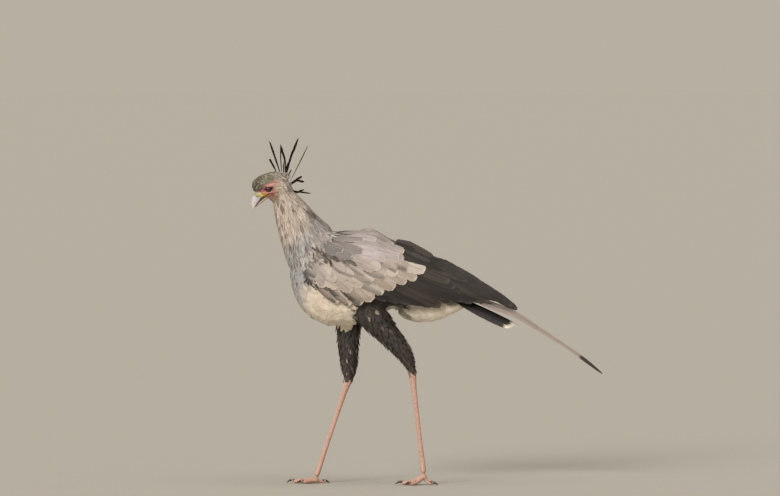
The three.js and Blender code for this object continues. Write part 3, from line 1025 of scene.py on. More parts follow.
def outline(feathers, rows, blunt, point, jag, rng):
    """How far along each row lies, and each feather's half width there, notched where its barbs part."""
    share = 1 - (1 - np.linspace(0, 1, rows)) ** 1.25
    width = np.minimum(1, 0.3 + 0.7 * (share / 0.25) ** 0.8) * np.maximum(1 - share**blunt, 0) ** point
    width = np.maximum(width, 0.07)
    notch = 1 - jag * rng.random((feathers, rows, 2)) * (np.arange(rows) % 2)[None, :, None]
    return share, width[None, :, None] * notch


def resampled(lines, share):
    """Evenly spaced rows moved to the given shares of the length."""
    rows = lines.shape[1]
    at = share * (rows - 1)
    low = np.minimum(at.astype(int), rows - 2)
    part = (at - low)[None, :, None]
    return lines[:, low] * (1 - part) + lines[:, low + 1] * part


def contour_feathers(
    surface, roots, heading, size, colours, rows, rng, blunt=2.2, point=0.5, jag=0.3, columns=3
):
    """Feathers on the surface. size holds each one's length, half width, root depth and tip lift."""
    spots, normals = lines_on(surface, roots, heading, size[:, 0], rows)
    # a feather that leaves the body is left out
    ends = spots[:, -1]
    strayed = np.linalg.norm(surface.near(ends)[0] - ends, axis=1) > 0.22 * size[:, 0] + 2
    spots, normals, roots, size, colours = (part[~strayed] for part in (spots, normals, roots, size, colours))
    length, half, depth, lift = size.T
    share, width = outline(len(roots), rows, blunt, point, jag, rng)
    spots, normals = resampled(spots, share), unit(resampled(normals, share))
    along = unit(np.gradient(spots, axis=1))
    right = unit(np.cross(along, normals))
    slope = np.minimum(depth * 0.45, 3.0)
    high = (
        lift[:, None] * share[None] ** 1.5
        - slope[:, None] * (1 - share[None])
        - (depth - slope)[:, None] * (1 - share[None]) ** 5
    )
    roll = rng.normal(0, 0.035, len(roots))[:, None]
    top = np.empty((len(roots), rows, columns, 3))
    across = np.linspace(-1, 1, columns)
    for k, off in enumerate(across):
        wide = half[:, None] * width[:, :, 0 if off < 0 else 1] * off
        spot = spots + right * wide[..., None] + along * (0.55 * np.abs(wide))[..., None]
        if abs(off) > 0.9:
            flat = spot.reshape(-1, 3)
            touched, _ = surface.near(flat)
            gap = np.linalg.norm(touched - flat, axis=1)
            keep = (gap < 0.8 * np.repeat(half, rows))[:, None]
            spot = np.where(keep, touched, flat).reshape(spot.shape)
        raised = high + roll * wide - 0.06 * np.abs(wide) * abs(off)
        top[:, :, k] = spot + normals * raised[..., None]
    under = top[:, :, columns // 2] - normals * np.maximum(0.25, 0.035 * half)[:, None, None]
    tint = rng.random(len(roots))
    along_rows = np.broadcast_to(share[None], (len(roots), rows))
    tones = np.broadcast_to(colours[:, None, None], (*top.shape[:3], 3))
    patch = np.column_stack([unwrapped(roots), np.full((len(roots), 2), PATCH)])
    return vane_mesh(top, under, along_rows, across, tint, tones, patch)


def scattered(surface, gap_at, rng, tries=7):
    """Roots over a surface, none nearer to another than the gap there. A gap of 0 keeps a place bare."""
    faces = surface.faces
    triangles = np.vstack([faces[:, [0, 1, 2]], faces[:, [0, 2, 3]]])
    a, b, c = (surface.points[triangles[:, i]] for i in range(3))
    area = np.linalg.norm(np.cross(b - a, c - a), axis=1) / 2
    gaps = gap_at((a + b + c) / 3)
    weight = np.where(gaps > 0, area / np.maximum(gaps, 0.1) ** 2, 0)
    number = int(weight.sum() * tries)
    chosen = rng.choice(len(weight), number, p=weight / weight.sum())
    u, v = rng.random(number), rng.random(number)
    over = u + v > 1
    u, v = np.where(over, 1 - u, u), np.where(over, 1 - v, v)
    spots = a[chosen] + u[:, None] * (b - a)[chosen] + v[:, None] * (c - a)[chosen]
    gap = gaps[chosen]
    cells = (2.5, 5.0, 10.0, 20.0)
    taken = [{} for _ in cells]
    kept = []
    for i, (spot, reach) in enumerate(zip(spots.tolist(), gap.tolist())):
        level = next((n for n, cell in enumerate(cells) if cell >= reach), len(cells) - 1)
        cell = cells[level]
        grid = taken[level]
        x, y, z = (int(part // cell) for part in spot)
        around = ((x + i, y + j, z + k) for i in (-1, 0, 1) for j in (-1, 0, 1) for k in (-1, 0, 1))
        others = (other for key in around for other in grid.get(key, ()))
        if all(sum((p - q) ** 2 for p, q in zip(spot, other)) >= reach * reach for other in others):
            kept.append(i)
            for n, size in enumerate(cells):
                key = tuple(int(part // size) for part in spot)
                taken[n].setdefault(key, []).append(spot)
    return spots[kept]


# Contour feathers by their place along the spine: place, length, half width, gap, root depth, tip lift
STAGES = np.array(
    [
        (0, 5.5, 1.4, 1.8, 0.9, 0.1),
        (50, 8.5, 1.9, 2.3, 1.4, 0.3),
        (85, 15, 2.6, 3.0, 2.6, 0.6),
        (125, 28, 3.6, 3.9, 5.0, 1.0),
        (180, 40, 5.0, 4.8, 7.0, 1.0),
        (290, 46, 8.5, 6.8, 7.5, 0.5),
        (400, 46, 13.5, 8.4, 7.5, 0.3),
        (600, 52, 15, 11, 7.5, 0.6),
        (830, 54, 14, 10, 7.0, 1.0),
    ]
)
COARSER = 1.0


def staged(stage):
    """Length, half width, gap, root depth and tip lift at each place along the spine."""
    return np.stack([np.interp(stage, STAGES[:, 0], STAGES[:, column]) for column in range(1, 6)], 1)


def body_gap(points):
    """The gap between feather roots on the head, neck and trunk, 0 where none grow."""
    which = owners(points)
    stage, _ = along_spine(points)
    gap = staged(stage)[:, 2] * COARSER
    feathered = owned(which, "head", "crest", "neck", "trunk", "rump")
    bare = owned(which, "head") & (bare_face(points) > 0.5)
    bare |= (points[:, 0] < -500) & (points[:, 2] < 852)
    return np.where(feathered & ~bare, gap, 0)


BILL_ROOT = np.array([-528.0, 0.0, 848.0])


def body_heading(points, stage):
    """The lie of the coat: away from the bill, down the neck and back along the body."""
    head = unit(points - BILL_ROOT) * (1, 1.2, 1)
    neck = unit(np.array([[0.40, 0, -0.92]]))
    front = unit(np.array([[1.0, 0, -0.75]]))
    rear = unit(np.array([[1.0, 0, -0.28]]))
    way = blend(head, neck, smooth(62, 112, stage))
    way = blend(way, front, smooth(290, 390, stage))
    return blend(way, rear, smooth(480, 600, stage))


def turned(heading, normals, degrees):
    """The headings turned about the normals."""
    angle = np.radians(degrees)[:, None]
    return heading * np.cos(angle) + np.cross(normals, heading) * np.sin(angle)


# The dark mottled edge under the wrist, partly the feathers' own dark mottling and partly painted shadow
# under the wing's lower edge, as the face's patches are given
WRIST_MOTTLE_AND_SHADE = [((-330, 589), 46, 16, -34, (40, 34, 30), 1.0), ((-358, 622), 14, 8, -60, (78, 72, 68), 0.8)]
# Odd feathers of a part as a share of all, and their colour
CROWN_MOTTLES = [(0.22, (60, 58, 48)), (0.14, (150, 146, 132))]
HIND_CROWN_MOTTLES = [(0.2, (92, 86, 74)), (0.14, (180, 172, 162)), (0.06, (64, 58, 52))]
NECK_STREAKS = [
    (0.07, (200, 189, 177)), (0.03, (112, 101, 86)), (0.16, (146, 138, 133)), (0.14, (182, 166, 158)),
]
SHOULDER_STREAKS = [
    (0.10, (180, 174, 172)), (0.14, (112, 108, 108)), (0.10, (150, 142, 136)), (0.04, (84, 76, 70)),
]
CHEEK_MOTTLES = [(0.2, (142, 126, 108)), (0.16, (208, 194, 176)), (0.08, (176, 150, 138))]
THIGH_MOTTLES = [(0.10, (84, 70, 58)), (0.04, (146, 132, 116)), (0.12, (30, 26, 25))]
# Dark and pale marks on the throat and neck feathers, as the face's patches are given: dark and pale
# feathers, and painted shade under the cheek
NECK_MARKS = [
    # the next two: painted shade under the cheek, below the head
    ((-438, 818), 9, 14, 0, (96, 86, 64), 0.95),
    ((-421, 796), 6, 14, 0, (98, 88, 68), 0.9),
    ((-434, 786), 5, 18, 0, (214, 204, 192), 0.5),
    ((-366, 783), 6, 16, 15, (216, 205, 192), 0.7),
    ((-340, 775), 17, 8, -42, (52, 44, 34), 1.0),
    ((-352, 792), 9, 4, -42, (112, 100, 86), 0.9),
    ((-397, 756), 9, 16, 0, (200, 190, 178), 0.4),
    ((-370, 740), 12, 5, -10, (90, 80, 70), 0.9),
]
WING_FLECKS = [(0.18, (188, 180, 172)), (0.10, (134, 124, 118))]
SCAPULAR_MOTTLES = [
    (0.18, (176, 167, 169)), (0.14, (136, 128, 128)), (0.05, (122, 114, 111)), (0.10, (170, 157, 149)),
]
BLADE_STREAKS = [(0.3, (58, 51, 46)), (0.25, (30, 26, 25))]


def streaked(colours, odd, rng):
    """The colours with a share of feathers in odd ones."""
    draw = rng.random(len(colours))
    passed = 0.0
    mixed = colours.copy()
    for share, colour in odd:
        hit = (draw >= passed) & (draw < passed + share)
        mixed[hit] = blend(mixed[hit], paint(*colour), 0.75)
        passed += share
    return mixed


def make_body_coat():
    """The small feathers of the head, neck, breast, belly, back and rump."""
    rng = np.random.default_rng(11)
    roots = scattered(COAT, body_gap, rng)
    which = owners(roots)
    stage, turn = along_spine(roots)
    touched, found = COAT.near(roots)
    normals = COAT.normal_at(touched, found)
    size = staged(stage)[:, [0, 1, 3, 4]]
    size[:, 0] *= rng.uniform(0.85, 1.2, len(roots))
    size[:, 1] *= rng.uniform(0.85, 1.15, len(roots))
    size[:, 2] -= 0.5
    size[:, 3] += rng.normal(0, 0.25, len(roots)) * size[:, 3] - 0.5
    clear = ~under_wing(roots, normals)
    roots, which, stage, turn = roots[clear], which[clear], stage[clear], turn[clear]
    normals, size = normals[clear], size[clear]
    wave = np.sin(turn * 80 + 2.5 * np.sin(stage / 26)) * np.sin(stage / 17 + turn * 31)
    heading = turned(body_heading(roots, stage), normals, rng.normal(0, 6, len(roots)) + 7 * wave)
    colours = coat_colour(roots, which, stage)
    streak = np.sin(turn * 115 + 3 * np.sin(stage / 37)) * smooth(70, 140, stage) * smooth(330, 250, stage)
    colours = colours * (1 + 0.14 * streak + 0.07 * wave)[:, None]
    shoulder = roots[:, 0] + 0.35 * (roots[:, 2] - 700) > -366
    neck = (stage > 85) & (stage < 235) & ~shoulder
    colours[neck] = streaked(colours[neck], NECK_STREAKS, rng)
    low_neck = (stage > 85) & (stage < 350) & ~neck
    colours[low_neck] = streaked(colours[low_neck], SHOULDER_STREAKS, rng)
    cheek = (stage < 95) & (roots[:, 0] > -456) & (roots[:, 2] < 884)
    colours[cheek] = streaked(colours[cheek], CHEEK_MOTTLES, rng)
    by_face = smooth(-7, -1, bare_face(roots)) * (roots[:, 0] > -456)
    colours = blend(colours, paint(178, 132, 120), by_face * rng.choice((0.0, 0.3, 0.6), len(roots)))
    gape = np.hypot((roots[:, 0] + 446) / 8, (roots[:, 2] - 841) / 9) < 1
    speckled = gape & (size[:, 0] < 14) & (rng.random(len(roots)) < 0.4)
    colours[speckled] = paint(158, 104, 94)
    crown = (stage < 60) & (roots[:, 0] < -476) & (roots[:, 2] > 850)
    colours[crown] = streaked(colours[crown], CROWN_MOTTLES, rng)
    hind_crown = (stage < 112) & (roots[:, 0] >= -476) & (roots[:, 2] > 884)
    colours[hind_crown] = streaked(colours[hind_crown], HIND_CROWN_MOTTLES, rng)
    ends = roots + heading * size[:, :1] * 0.8
    marked = patched(colours, ends, NECK_MARKS, smooth(8, 16, np.abs(roots[:, 1])))
    colours = blend(colours, marked, rng.uniform(0.5, 1.0, len(roots)))
    # painted shadow under the wing's lower edge, laid on the body feathers below it
    low = patched(colours, roots, WRIST_MOTTLE_AND_SHADE[:1], smooth(30, 50, np.abs(roots[:, 1])))
    colours = blend(colours, low, rng.choice((0.1, 0.6, 1.0), len(roots)))
    ends = owners(roots + heading * size[:, :1])
    size[owned(ends, "wing"), 0] *= 0.5
    size[owned(ends, "thigh") & ~owned(which, "thigh"), 0] *= 0.6
    lots = {
        "head_feathers": (stage < 95, 6, dict(blunt=2.0, point=0.55, jag=0.3)),
        "neck_hackles": ((stage >= 95) & (stage < 300), 10, dict(blunt=1.5, point=0.8, jag=0.4)),
        "breast_feathers": ((stage >= 300) & (stage < 470), 10, dict(blunt=2.2, point=0.5, jag=0.4)),
        "rump_feathers": (stage >= 470, 10, dict(blunt=2.2, point=0.5, jag=0.5)),
    }
    for name, (chosen, rows, form) in lots.items():
        given = (part[chosen] for part in (roots, heading, size, colours))
        feather_piece(name, contour_feathers(COAT, *given, rows, rng, **form), SOFT_FEATHER)


def make_thigh_coat():
    """The black leggings, longest at the top."""
    for name, side in SIDES.items():
        rng = np.random.default_rng(23 + side)

        def gap_at(points):
            which = owners(points)
            mine = owned(which, f"thigh_{name}")
            return np.where(mine, np.interp(points[:, 2], (300, 420, 560), (4.6, 6.4, 8.0)) * COARSER, 0)

        roots = scattered(COAT, gap_at, rng)
        high = roots[:, 2]
        size = np.stack(
            [
                np.interp(high, (300, 420, 560), (17, 28, 36)) * rng.uniform(0.85, 1.2, len(roots)),
                np.interp(high, (300, 420, 560), (3.8, 6.0, 8.5)),
                np.interp(high, (300, 420, 560), (2.0, 6.0, 7.0)),
                np.interp(high, (300, 420, 560), (1.0, 3.0, 3.2)) + rng.normal(0, 1.4, len(roots)),
            ],
            1,
        )
        way = (0.52, 0, -0.85) if side == LEFT else (-0.05, 0, -1.0)
        heading = np.broadcast_to(np.array(way, float), roots.shape)
        touched, found = COAT.near(roots)
        heading = turned(heading, COAT.normal_at(touched, found), rng.normal(0, 8, len(roots)))
        colours = np.broadcast_to(paint(48, 41, 38), roots.shape).copy()
        colours = streaked(colours, THIGH_MOTTLES, rng)
        lot = contour_feathers(COAT, roots, heading, size, colours, 8, rng, blunt=1.9, point=0.6, jag=0.5)
        feather_piece(f"thigh_feathers_{name}", lot, DARK_TUFT)


# The folded wings


class WingRelief:
    """How far out a folded wing stands at each (x, z) of the profile, carried on smoothly past its edges."""

    step = 3.0
    low = (-410.0, 430.0)
    high = (290.0, 725.0)

    def __init__(self, name, side):
        points, faces, _ = welded([f"wing_{name}_{part}" for part in WING_PARTS])
        tree = BVHTree.FromPolygons(points.tolist(), faces.tolist())
        xs = np.arange(self.low[0], self.high[0], self.step)
        zs = np.arange(self.low[1], self.high[1], self.step)
        out = np.full((len(xs), len(zs)), np.nan)
        for i, x in enumerate(xs.tolist()):
            for j, z in enumerate(zs.tolist()):
                hit = tree.ray_cast((x, side * 400.0, z), (0, -side, 0))[0]
                if hit is not None:
                    out[i, j] = abs(hit[1])
        known = ~np.isnan(out)
        out = np.where(known, out, 0.0)
        for _ in range(40):
            total, number = self.around(out * known), self.around(known.astype(float))
            fresh = ~known & (number > 0)
            out = np.where(fresh, total / np.maximum(number, 1e-9), out)
            known |= fresh
        for _ in range(3):
            out = (self.around(out) + out * 2) / 6
        self.out = out

    @staticmethod
    def around(grid):
        edged = np.pad(grid, 1, mode="edge")
        return edged[2:, 1:-1] + edged[:-2, 1:-1] + edged[1:-1, 2:] + edged[1:-1, :-2]

    def at(self, x, z):
        i = np.clip((x - self.low[0]) / self.step, 0, self.out.shape[0] - 1.001)
        j = np.clip((z - self.low[1]) / self.step, 0, self.out.shape[1] - 1.001)
        a, b = i.astype(int), j.astype(int)
        u, v = i - a, j - b
        low = self.out[a, b] * (1 - u) + self.out[a + 1, b] * u
        high = self.out[a, b + 1] * (1 - u) + self.out[a + 1, b + 1] * u
        return low * (1 - v) + high * v


def patch_grid(count):
    """A square of the bake's map for each of a few large feathers, as their middles, widths and heights."""
    side = math.ceil(math.sqrt(count))
    number = np.arange(count)
    cell = 1 / side
    middle = np.stack([(number % side + 0.5) * cell, (number // side + 0.5) * cell], 1)
    return np.column_stack([middle, np.full((count, 2), cell * 0.86)])


def profile_feathers(relief, side, tips, slope, length, half, raised, colours, rows, rng, form):
    """Large feathers laid on a folded wing from their tips (x, z), their fall in degrees and their length."""
    count = len(tips)
    fall = np.radians(slope)
    way = np.stack([np.cos(fall), -np.sin(fall)], 1)
    down = np.stack([-np.sin(fall), -np.cos(fall)], 1)
    share, width = outline(count, rows, form["blunt"], form["point"], form["jag"], rng)
    bend = form.get("bend", 0.02) * length[:, None] * (1 - (1 - share[None]) ** 2 - share[None])
    back = (1 - share[None]) * length[:, None]
    line = tips[:, None] - way[:, None] * back[..., None] + down[:, None] * bend[..., None]
    columns = form.get("columns", 5)
    across = np.linspace(-1, 1, columns)
    skew = form.get("skew", 0.0)
    sweep = form.get("sweep", 0.5)
    roll = form.get("roll", 0.045)
    top = np.empty((count, rows, columns, 3))
    high = raised[:, None] - form["depth"] * (1 - share[None]) ** 1.4
    for k, off in enumerate(across):
        side_share = (1 - skew) if off > 0 else (1 + skew)
        wide = half[:, None] * width[:, :, 0 if off < 0 else 1] * abs(off) * side_share
        off_line = down[:, None] * (np.sign(off) * wide)[..., None]
        flat = line + off_line + way[:, None] * (sweep * wide)[..., None]
        out = relief.at(flat[..., 0], flat[..., 1]) + high + roll * np.sign(off) * wide - 0.0016 * wide**2
        top[:, :, k] = np.stack([flat[..., 0], side * out, flat[..., 1]], -1)
    under = top[:, :, columns // 2].copy()
    under[..., 1] -= side * form.get("thick", 0.5)
    if side == RIGHT:
        top = top[:, :, ::-1]
        across = across[::-1]
    along_rows = np.broadcast_to(share[None], (count, rows))
    # hind vanes darkened by the form's hind share: two-tone vanes, and on the coverts also painted shadow in
    # the gaps
    hind = smooth(-0.2, 0.5, across if side == LEFT else -across)
    dark = form.get("hind", np.zeros(count))
    shade = (1 - dark[:, None] * hind)[:, None, :, None]
    tones = colours[:, None, None] * shade + np.zeros((*top.shape[:3], 1))
    return vane_mesh(top, under, along_rows, across, rng.random(count), tones, patch_grid(count))


def along_curve(corners, count, start=0.0, end=1.0):
    """Evenly spaced places on a line of (x, z) corners."""
    corners = np.array(corners, float)
    passed = np.concatenate([[0], np.cumsum(np.hypot(*np.diff(corners, axis=0).T))])
    wanted = np.linspace(start, end, count) * passed[-1]
    return np.stack([np.interp(wanted, passed, corners[:, 0]), np.interp(wanted, passed, corners[:, 1])], 1)


# Where the tips of the greater coverts lie, from the wrist to the elbow, as (x, z)
GREATER_TIPS = [
    (-262, 531), (-232, 525), (-206, 527), (-186, 531), (-164, 538), (-136, 554), (-103, 570), (-71, 588),
    (-37, 597), (-10, 622),
]
# Rows of coverts from the greater ones upwards: how far their tips lie up the wing, number, length, half
# width, and where on the line of tips they start
COVERT_ROWS = [(0, 9, 128, 26, 0.0), (62, 8, 104, 26, 0.01), (100, 11, 80, 18, 0.05), (128, 14, 62, 13, 0.12)]


def covert_slope(x):
    """The fall of the coverts in degrees: steep at the wrist, flat towards the elbow."""
    return np.clip(50 - 0.103 * (x + 257), 20, 52)


def covert_rows(relief, side, rng, rows):
    """The greater, median and larger lesser coverts of the rows asked for, the upper over the lower."""
    tips, slopes, lengths, halves, raised, colours, hind = [], [], [], [], [], [], []
    for row in rows:
        up, count, length, half, start = COVERT_ROWS[row]
        base = along_curve(GREATER_TIPS, count, start, 1.0 - 0.035 * row)
        slope = covert_slope(base[:, 0]) - 2.0 * row
        fall = np.radians(slope)
        away = np.stack([-np.cos(fall), np.sin(fall)], 1) * up * np.linspace(1.0, 0.72, count)[:, None]
        spot = base + away + rng.normal(0, 1.8 + 2.4 * row, base.shape)
        tips.append(spot)
        slopes.append(slope + rng.normal(0, 4 + 1.5 * row, count))
        lengths.append(np.full(count, length) * rng.uniform(0.92, 1.1, count))
        halves.append(np.full(count, half) * rng.uniform(0.8, 1.15, count))
        raised.append(0.4 + 0.35 * row + 0.45 * (np.arange(count) % 3) + rng.normal(0, 0.2, count))
        tone = blend(paint(184, 170, 158), paint(164, 154, 148), np.full(count, row / 3))
        tone = blend(tone, paint(116, 112, 111), smooth(-296, -340, spot[:, 0]))
        tone = tone * (1 - 0.25 * smooth(-130, -60, spot[:, 0]))[:, None]
        colours.append(streaked(tone, WING_FLECKS, rng))
        # darker hind vanes: the coverts' own two-tone vanes, and painted shadow in the gaps between them,
        # strongest on the first three greater coverts
        shaded = rng.choice((0.0, 0.15, 0.5), count, p=(0.5, 0.3, 0.2))
        hind.append(np.where((row == 0) & (np.arange(count) < 3), 0.8, shaded))
    form = dict(blunt=3.6, point=0.5, jag=0.2, depth=3.2, columns=7, skew=0.12, sweep=0.45, roll=0.04)
    form["hind"] = np.concatenate(hind)
    sizes = (np.concatenate(part) for part in (slopes, lengths, halves, raised))
    return profile_feathers(relief, side, np.vstack(tips), *sizes, np.vstack(colours), 16, rng, form)


# The wing's front and lower front edge, and the lower edge of the shoulder feathers, as (x, z)
WRIST_EDGE = [(-368, 640), (-364, 604), (-345, 588), (-300, 566), (-258, 534)]
SHOULDER_EDGE = [(-338, 676), (-302, 664), (-264, 655), (-226, 648)]
FRONT_STREAK = [(-346, 690), (-362, 660), (-372, 634)]


def lesser_coverts(name, side, rng):
    """The small feathers of the wrist and the upper arm."""

    def gap_at(points):
        which = owners(points)
        mine = owned(which, f"wing_{name}_coverts")
        outside = points[:, 1] * side > 30
        tips = np.array(GREATER_TIPS, float)
        above = points[:, 2] - np.interp(points[:, 0], tips[:, 0], tips[:, 1])
        upper = (points[:, 0] < -268) | (above > np.interp(points[:, 0], (-268, -200), (20, 95)))
        gap = np.interp(points[:, 0], (-374, -340, -280), (5.0, 6.5, 9.0))
        return np.where(mine & outside & upper, gap * COARSER, 0)

    roots = scattered(COAT, gap_at, rng)
    x, z = roots[:, 0], roots[:, 2]
    front = smooth(-330, -368, x)
    size = np.stack(
        [
            np.interp(x, (-374, -340, -280), (17, 27, 40)) * rng.uniform(0.7, 1.25, len(roots)),
            np.interp(x, (-374, -340, -280), (4.6, 6.4, 9.0)) * rng.uniform(0.75, 1.1, len(roots)),
            np.interp(x, (-374, -340), (2.0, 3.6)),
            0.2 + rng.normal(0, 0.25, len(roots)) - 3.5 * smooth(-325, -295, x),
        ],
        1,
    )
    fall = np.radians(44 + 14 * front + rng.normal(0, 11, len(roots)))
    heading = np.stack([np.cos(fall), 0 * x, -np.sin(fall)], 1)
    colours = np.broadcast_to(paint(150, 141, 135), roots.shape)
    colours = blend(colours, paint(104, 103, 106), smooth(-318, -342, x) * smooth(668, 650, z))
    colours = streaked(colours, WING_FLECKS, rng)
    # dark band along the wing's front and lower front edge: dark mottled feathers, with painted shadow along
    # the wrist's front and under the wing's edge
    edge = ridge(roots, WRIST_EDGE, 15) * smooth(640, 606, z)
    colours = blend(colours, paint(46, 38, 33), edge * rng.choice((0.25, 0.9, 1.0), len(roots)))
    # painted shadow on the coverts just below the shoulder feathers' lower edge
    under = ridge(roots, SHOULDER_EDGE, 13)
    colours = blend(colours, paint(58, 51, 47), under * rng.choice((0.1, 0.8, 1.0), len(roots)))
    colours = blend(colours, paint(186, 180, 176), 0.8 * ridge(roots, FRONT_STREAK, 3.5))
    # the wrist's dark mottling, with painted shadow under the wing's edge
    colours = blend(colours, patched(colours, roots, WRIST_MOTTLE_AND_SHADE), rng.choice((0.3, 0.9, 1.0), len(roots)))
    form = dict(blunt=2.1, point=0.6, jag=0.34, columns=5)
    return contour_feathers(COAT, roots, heading, size, colours, 10, rng, **form)


def scapulars(name, side, rng):
    """The long grey shoulder feathers in staggered rows over the arm and the back's edge."""

    def gap_at(points):
        which = owners(points)
        mine = owned(which, f"wing_{name}_scapulars")
        rear_end = -124 - 50 * smooth(75, 35, points[:, 1] * side)
        outside = (points[:, 1] * side > 3) & (points[:, 0] < rear_end)
        gap = np.interp(points[:, 0], (-400, -350, -290), (9, 15, 23))
        return np.where(mine & outside, gap * COARSER, 0)

    roots = scattered(COAT, gap_at, rng, tries=9)
    x = roots[:, 0]
    length = np.interp(x, (-400, -350, -290, -180, -118), (40, 70, 112, 100, 52))
    size = np.stack(
        [
            length * rng.uniform(0.9, 1.12, len(roots)),
            np.interp(x, (-400, -350, -290), (9.5, 15, 22)) * rng.uniform(0.85, 1.1, len(roots)),
            np.full(len(roots), 4.2),
            0.9 + rng.normal(0, 0.35, len(roots)),
        ],
        1,
    )
    fall = np.radians(np.interp(x, (-400, -300, -100), (22, 15, 24)) + rng.normal(0, 6, len(roots)))
    heading = np.stack([np.cos(fall), 0 * x, -np.sin(fall)], 1)
    colours = scapular_tone(x)
    plain = colours * rng.uniform(0.88, 1.1, len(roots))[:, None]
    colours = blend(plain, streaked(colours, SCAPULAR_MOTTLES, rng), smooth(-330, -240, x))
    form = dict(blunt=3.0, point=0.5, jag=0.22, columns=5)
    return contour_feathers(COAT, roots, heading, size, colours, 14, rng, **form)


# The tips of dark feathers laid under the shoulder's lower edge as painted shadow, as (x, z), and how many
# there are
FRINGE_TIPS = [(-314, 668), (-298, 660), (-266, 651), (-232, 646), (-200, 642)]
FRINGE_COUNT = 20


def shoulder_shadow_fringe(relief, side, rng):
    """Dark feathers along the shoulder feathers' lower edge as painted shadow: the jagged dark line between
    the shoulder feathers and the coverts.
    """
    count = FRINGE_COUNT
    tips = along_curve(FRINGE_TIPS, count) + rng.normal(0, 3.0, (count, 2))
    slope = np.linspace(40, 26, count) + rng.normal(0, 8, count)
    length = rng.uniform(28, 42, count)
    half = rng.uniform(3.6, 6.5, count)
    raised = 1.3 + rng.uniform(0, 0.8, count)
    dark = blend(paint(60, 52, 47), paint(112, 105, 101), rng.choice((0.0, 0.35, 1.0), count))
    form = dict(blunt=2.2, point=0.6, jag=0.45, depth=3.4, columns=5, sweep=0.6, roll=0.04)
    return profile_feathers(relief, side, tips, slope, length, half, raised, dark, 10, rng, form)


# Black flight feathers by the place of their tips (x, z), then fall in degrees, length and half width
TERTIAL_BLADES = [
    ((84, 604), 27, 200, 18), ((112, 592), 27, 200, 18), ((66, 612), 26, 190, 18), ((20, 632), 24, 140, 18),
    ((52, 624), 27, 170, 18), ((14, 652), 27, 122, 16),
]
SECONDARY_BLADES = [
    ((-123, 539), 33, 120, 17), ((-88, 533), 31, 140, 17), ((-54, 528), 30, 160, 18),
    ((-22, 525), 29, 175, 18), ((8, 520), 28, 190, 18), ((34, 519), 27, 200, 19), ((66, 534), 27, 200, 18),
    ((98, 535), 27, 205, 18), ((92, 556), 27, 200, 18), ((76, 574), 27, 195, 18), ((60, 590), 26, 180, 18),
]
PRIMARY_BLADES = [
    ((126, 529), 27, 170, 16), ((150, 531), 28, 185, 16), ((176, 534), 29, 195, 16),
    ((200, 535), 30, 205, 15), ((222, 529), 31, 215, 15), ((243, 519), 32, 225, 15),
    ((257, 508), 33, 230, 14), ((156, 576), 28, 180, 17),
]


BLADE_FORM = dict(
    blunt=6.0, point=0.5, jag=0.06, depth=1.2, columns=7, skew=0.18, sweep=0.4, roll=0.04, bend=0.05
)


def black_blades(relief, side, blades, raised, rng):
    tips = np.array([blade[0] for blade in blades], float)
    slope, length, half = (np.array([blade[i] for blade in blades], float) for i in (1, 2, 3))
    tones = streaked(np.broadcast_to(paint(42, 37, 35), (len(blades), 3)), BLADE_STREAKS, rng)
    high = raised + 0.5 * (np.arange(len(blades)) / len(blades))
    return profile_feathers(relief, side, tips, slope, length, half, high, tones, 30, rng, BLADE_FORM)


def make_wings():
    for name, side in SIDES.items():
        relief = WingRelief(name, side)
        rng = np.random.default_rng(41)
        lots = [
            ("primaries", black_blades(relief, side, PRIMARY_BLADES, -2.0, rng), BLACK_FEATHER),
            ("secondaries", black_blades(relief, side, SECONDARY_BLADES, -1.2, rng), BLACK_FEATHER),
            ("tertials", black_blades(relief, side, TERTIAL_BLADES, -0.2, rng), BLACK_FEATHER),
            ("lesser_coverts", lesser_coverts(name, side, rng), WRIST_FEATHER),
            ("greater_coverts", covert_rows(relief, side, rng, (0, 1)), WING_FEATHER),
            ("median_coverts", covert_rows(relief, side, rng, (2, 3)), WRIST_FEATHER),
            ("scapulars", scapulars(name, side, rng), SHOULDER_FEATHER),
            # dark feathers as painted shadow under the shoulder feathers' lower edge
            ("shoulder_shadow_fringe", shoulder_shadow_fringe(relief, side, rng), WRIST_FEATHER),
        ]
        for part, made, material in lots:
            piece = feather_piece(f"{part}_{name}", made, material)
            if part in WING_PARTS:
                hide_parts(f"wing_{name}_{part}")
            if part == "greater_coverts":
                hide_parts(f"wing_{name}_coverts")


# The tail and the crest


def free_feathers(lines, sideways, half, rows, rng, tones, form):
    """Feathers in the open along lines F x n x 3, each with its width's direction and half widths F x n.

    tones gives the colours F x rows x columns x 3 from the rows' shares of the length.
    """
    count = len(lines)
    share, width = outline(count, rows, form["blunt"], form["point"], form["jag"], rng)
    knots = np.linspace(0, 1, lines.shape[1])
    line = np.stack(
        [[curve_through(knots, lines[f, :, axis], share) for axis in range(3)] for f in range(count)]
    ).transpose(0, 2, 1)
    half = np.stack([curve_through(knots, half[f], share) for f in range(count)])
    along = unit(np.gradient(line, axis=1))
    right = np.broadcast_to(sideways[:, None], line.shape)
    right = unit(right - along * (right * along).sum(-1, keepdims=True))
    normal = np.cross(right, along)
    columns = form["columns"]
    across = np.linspace(-1, 1, columns)
    top = np.empty((count, rows, columns, 3))
    for k, off in enumerate(across):
        wide = half * width[:, :, 0 if off < 0 else 1] * abs(off)
        spot = line + right * (np.sign(off) * wide)[..., None] + along * (form["sweep"] * wide)[..., None]
        top[:, :, k] = spot - normal * (form["cup"] * wide)[..., None]
    under = top[:, :, columns // 2] - normal * form["thick"]
    along_rows = np.broadcast_to(share[None], (count, rows))
    return vane_mesh(top, under, along_rows, across, rng.random(count), tones(share), patch_grid(count))


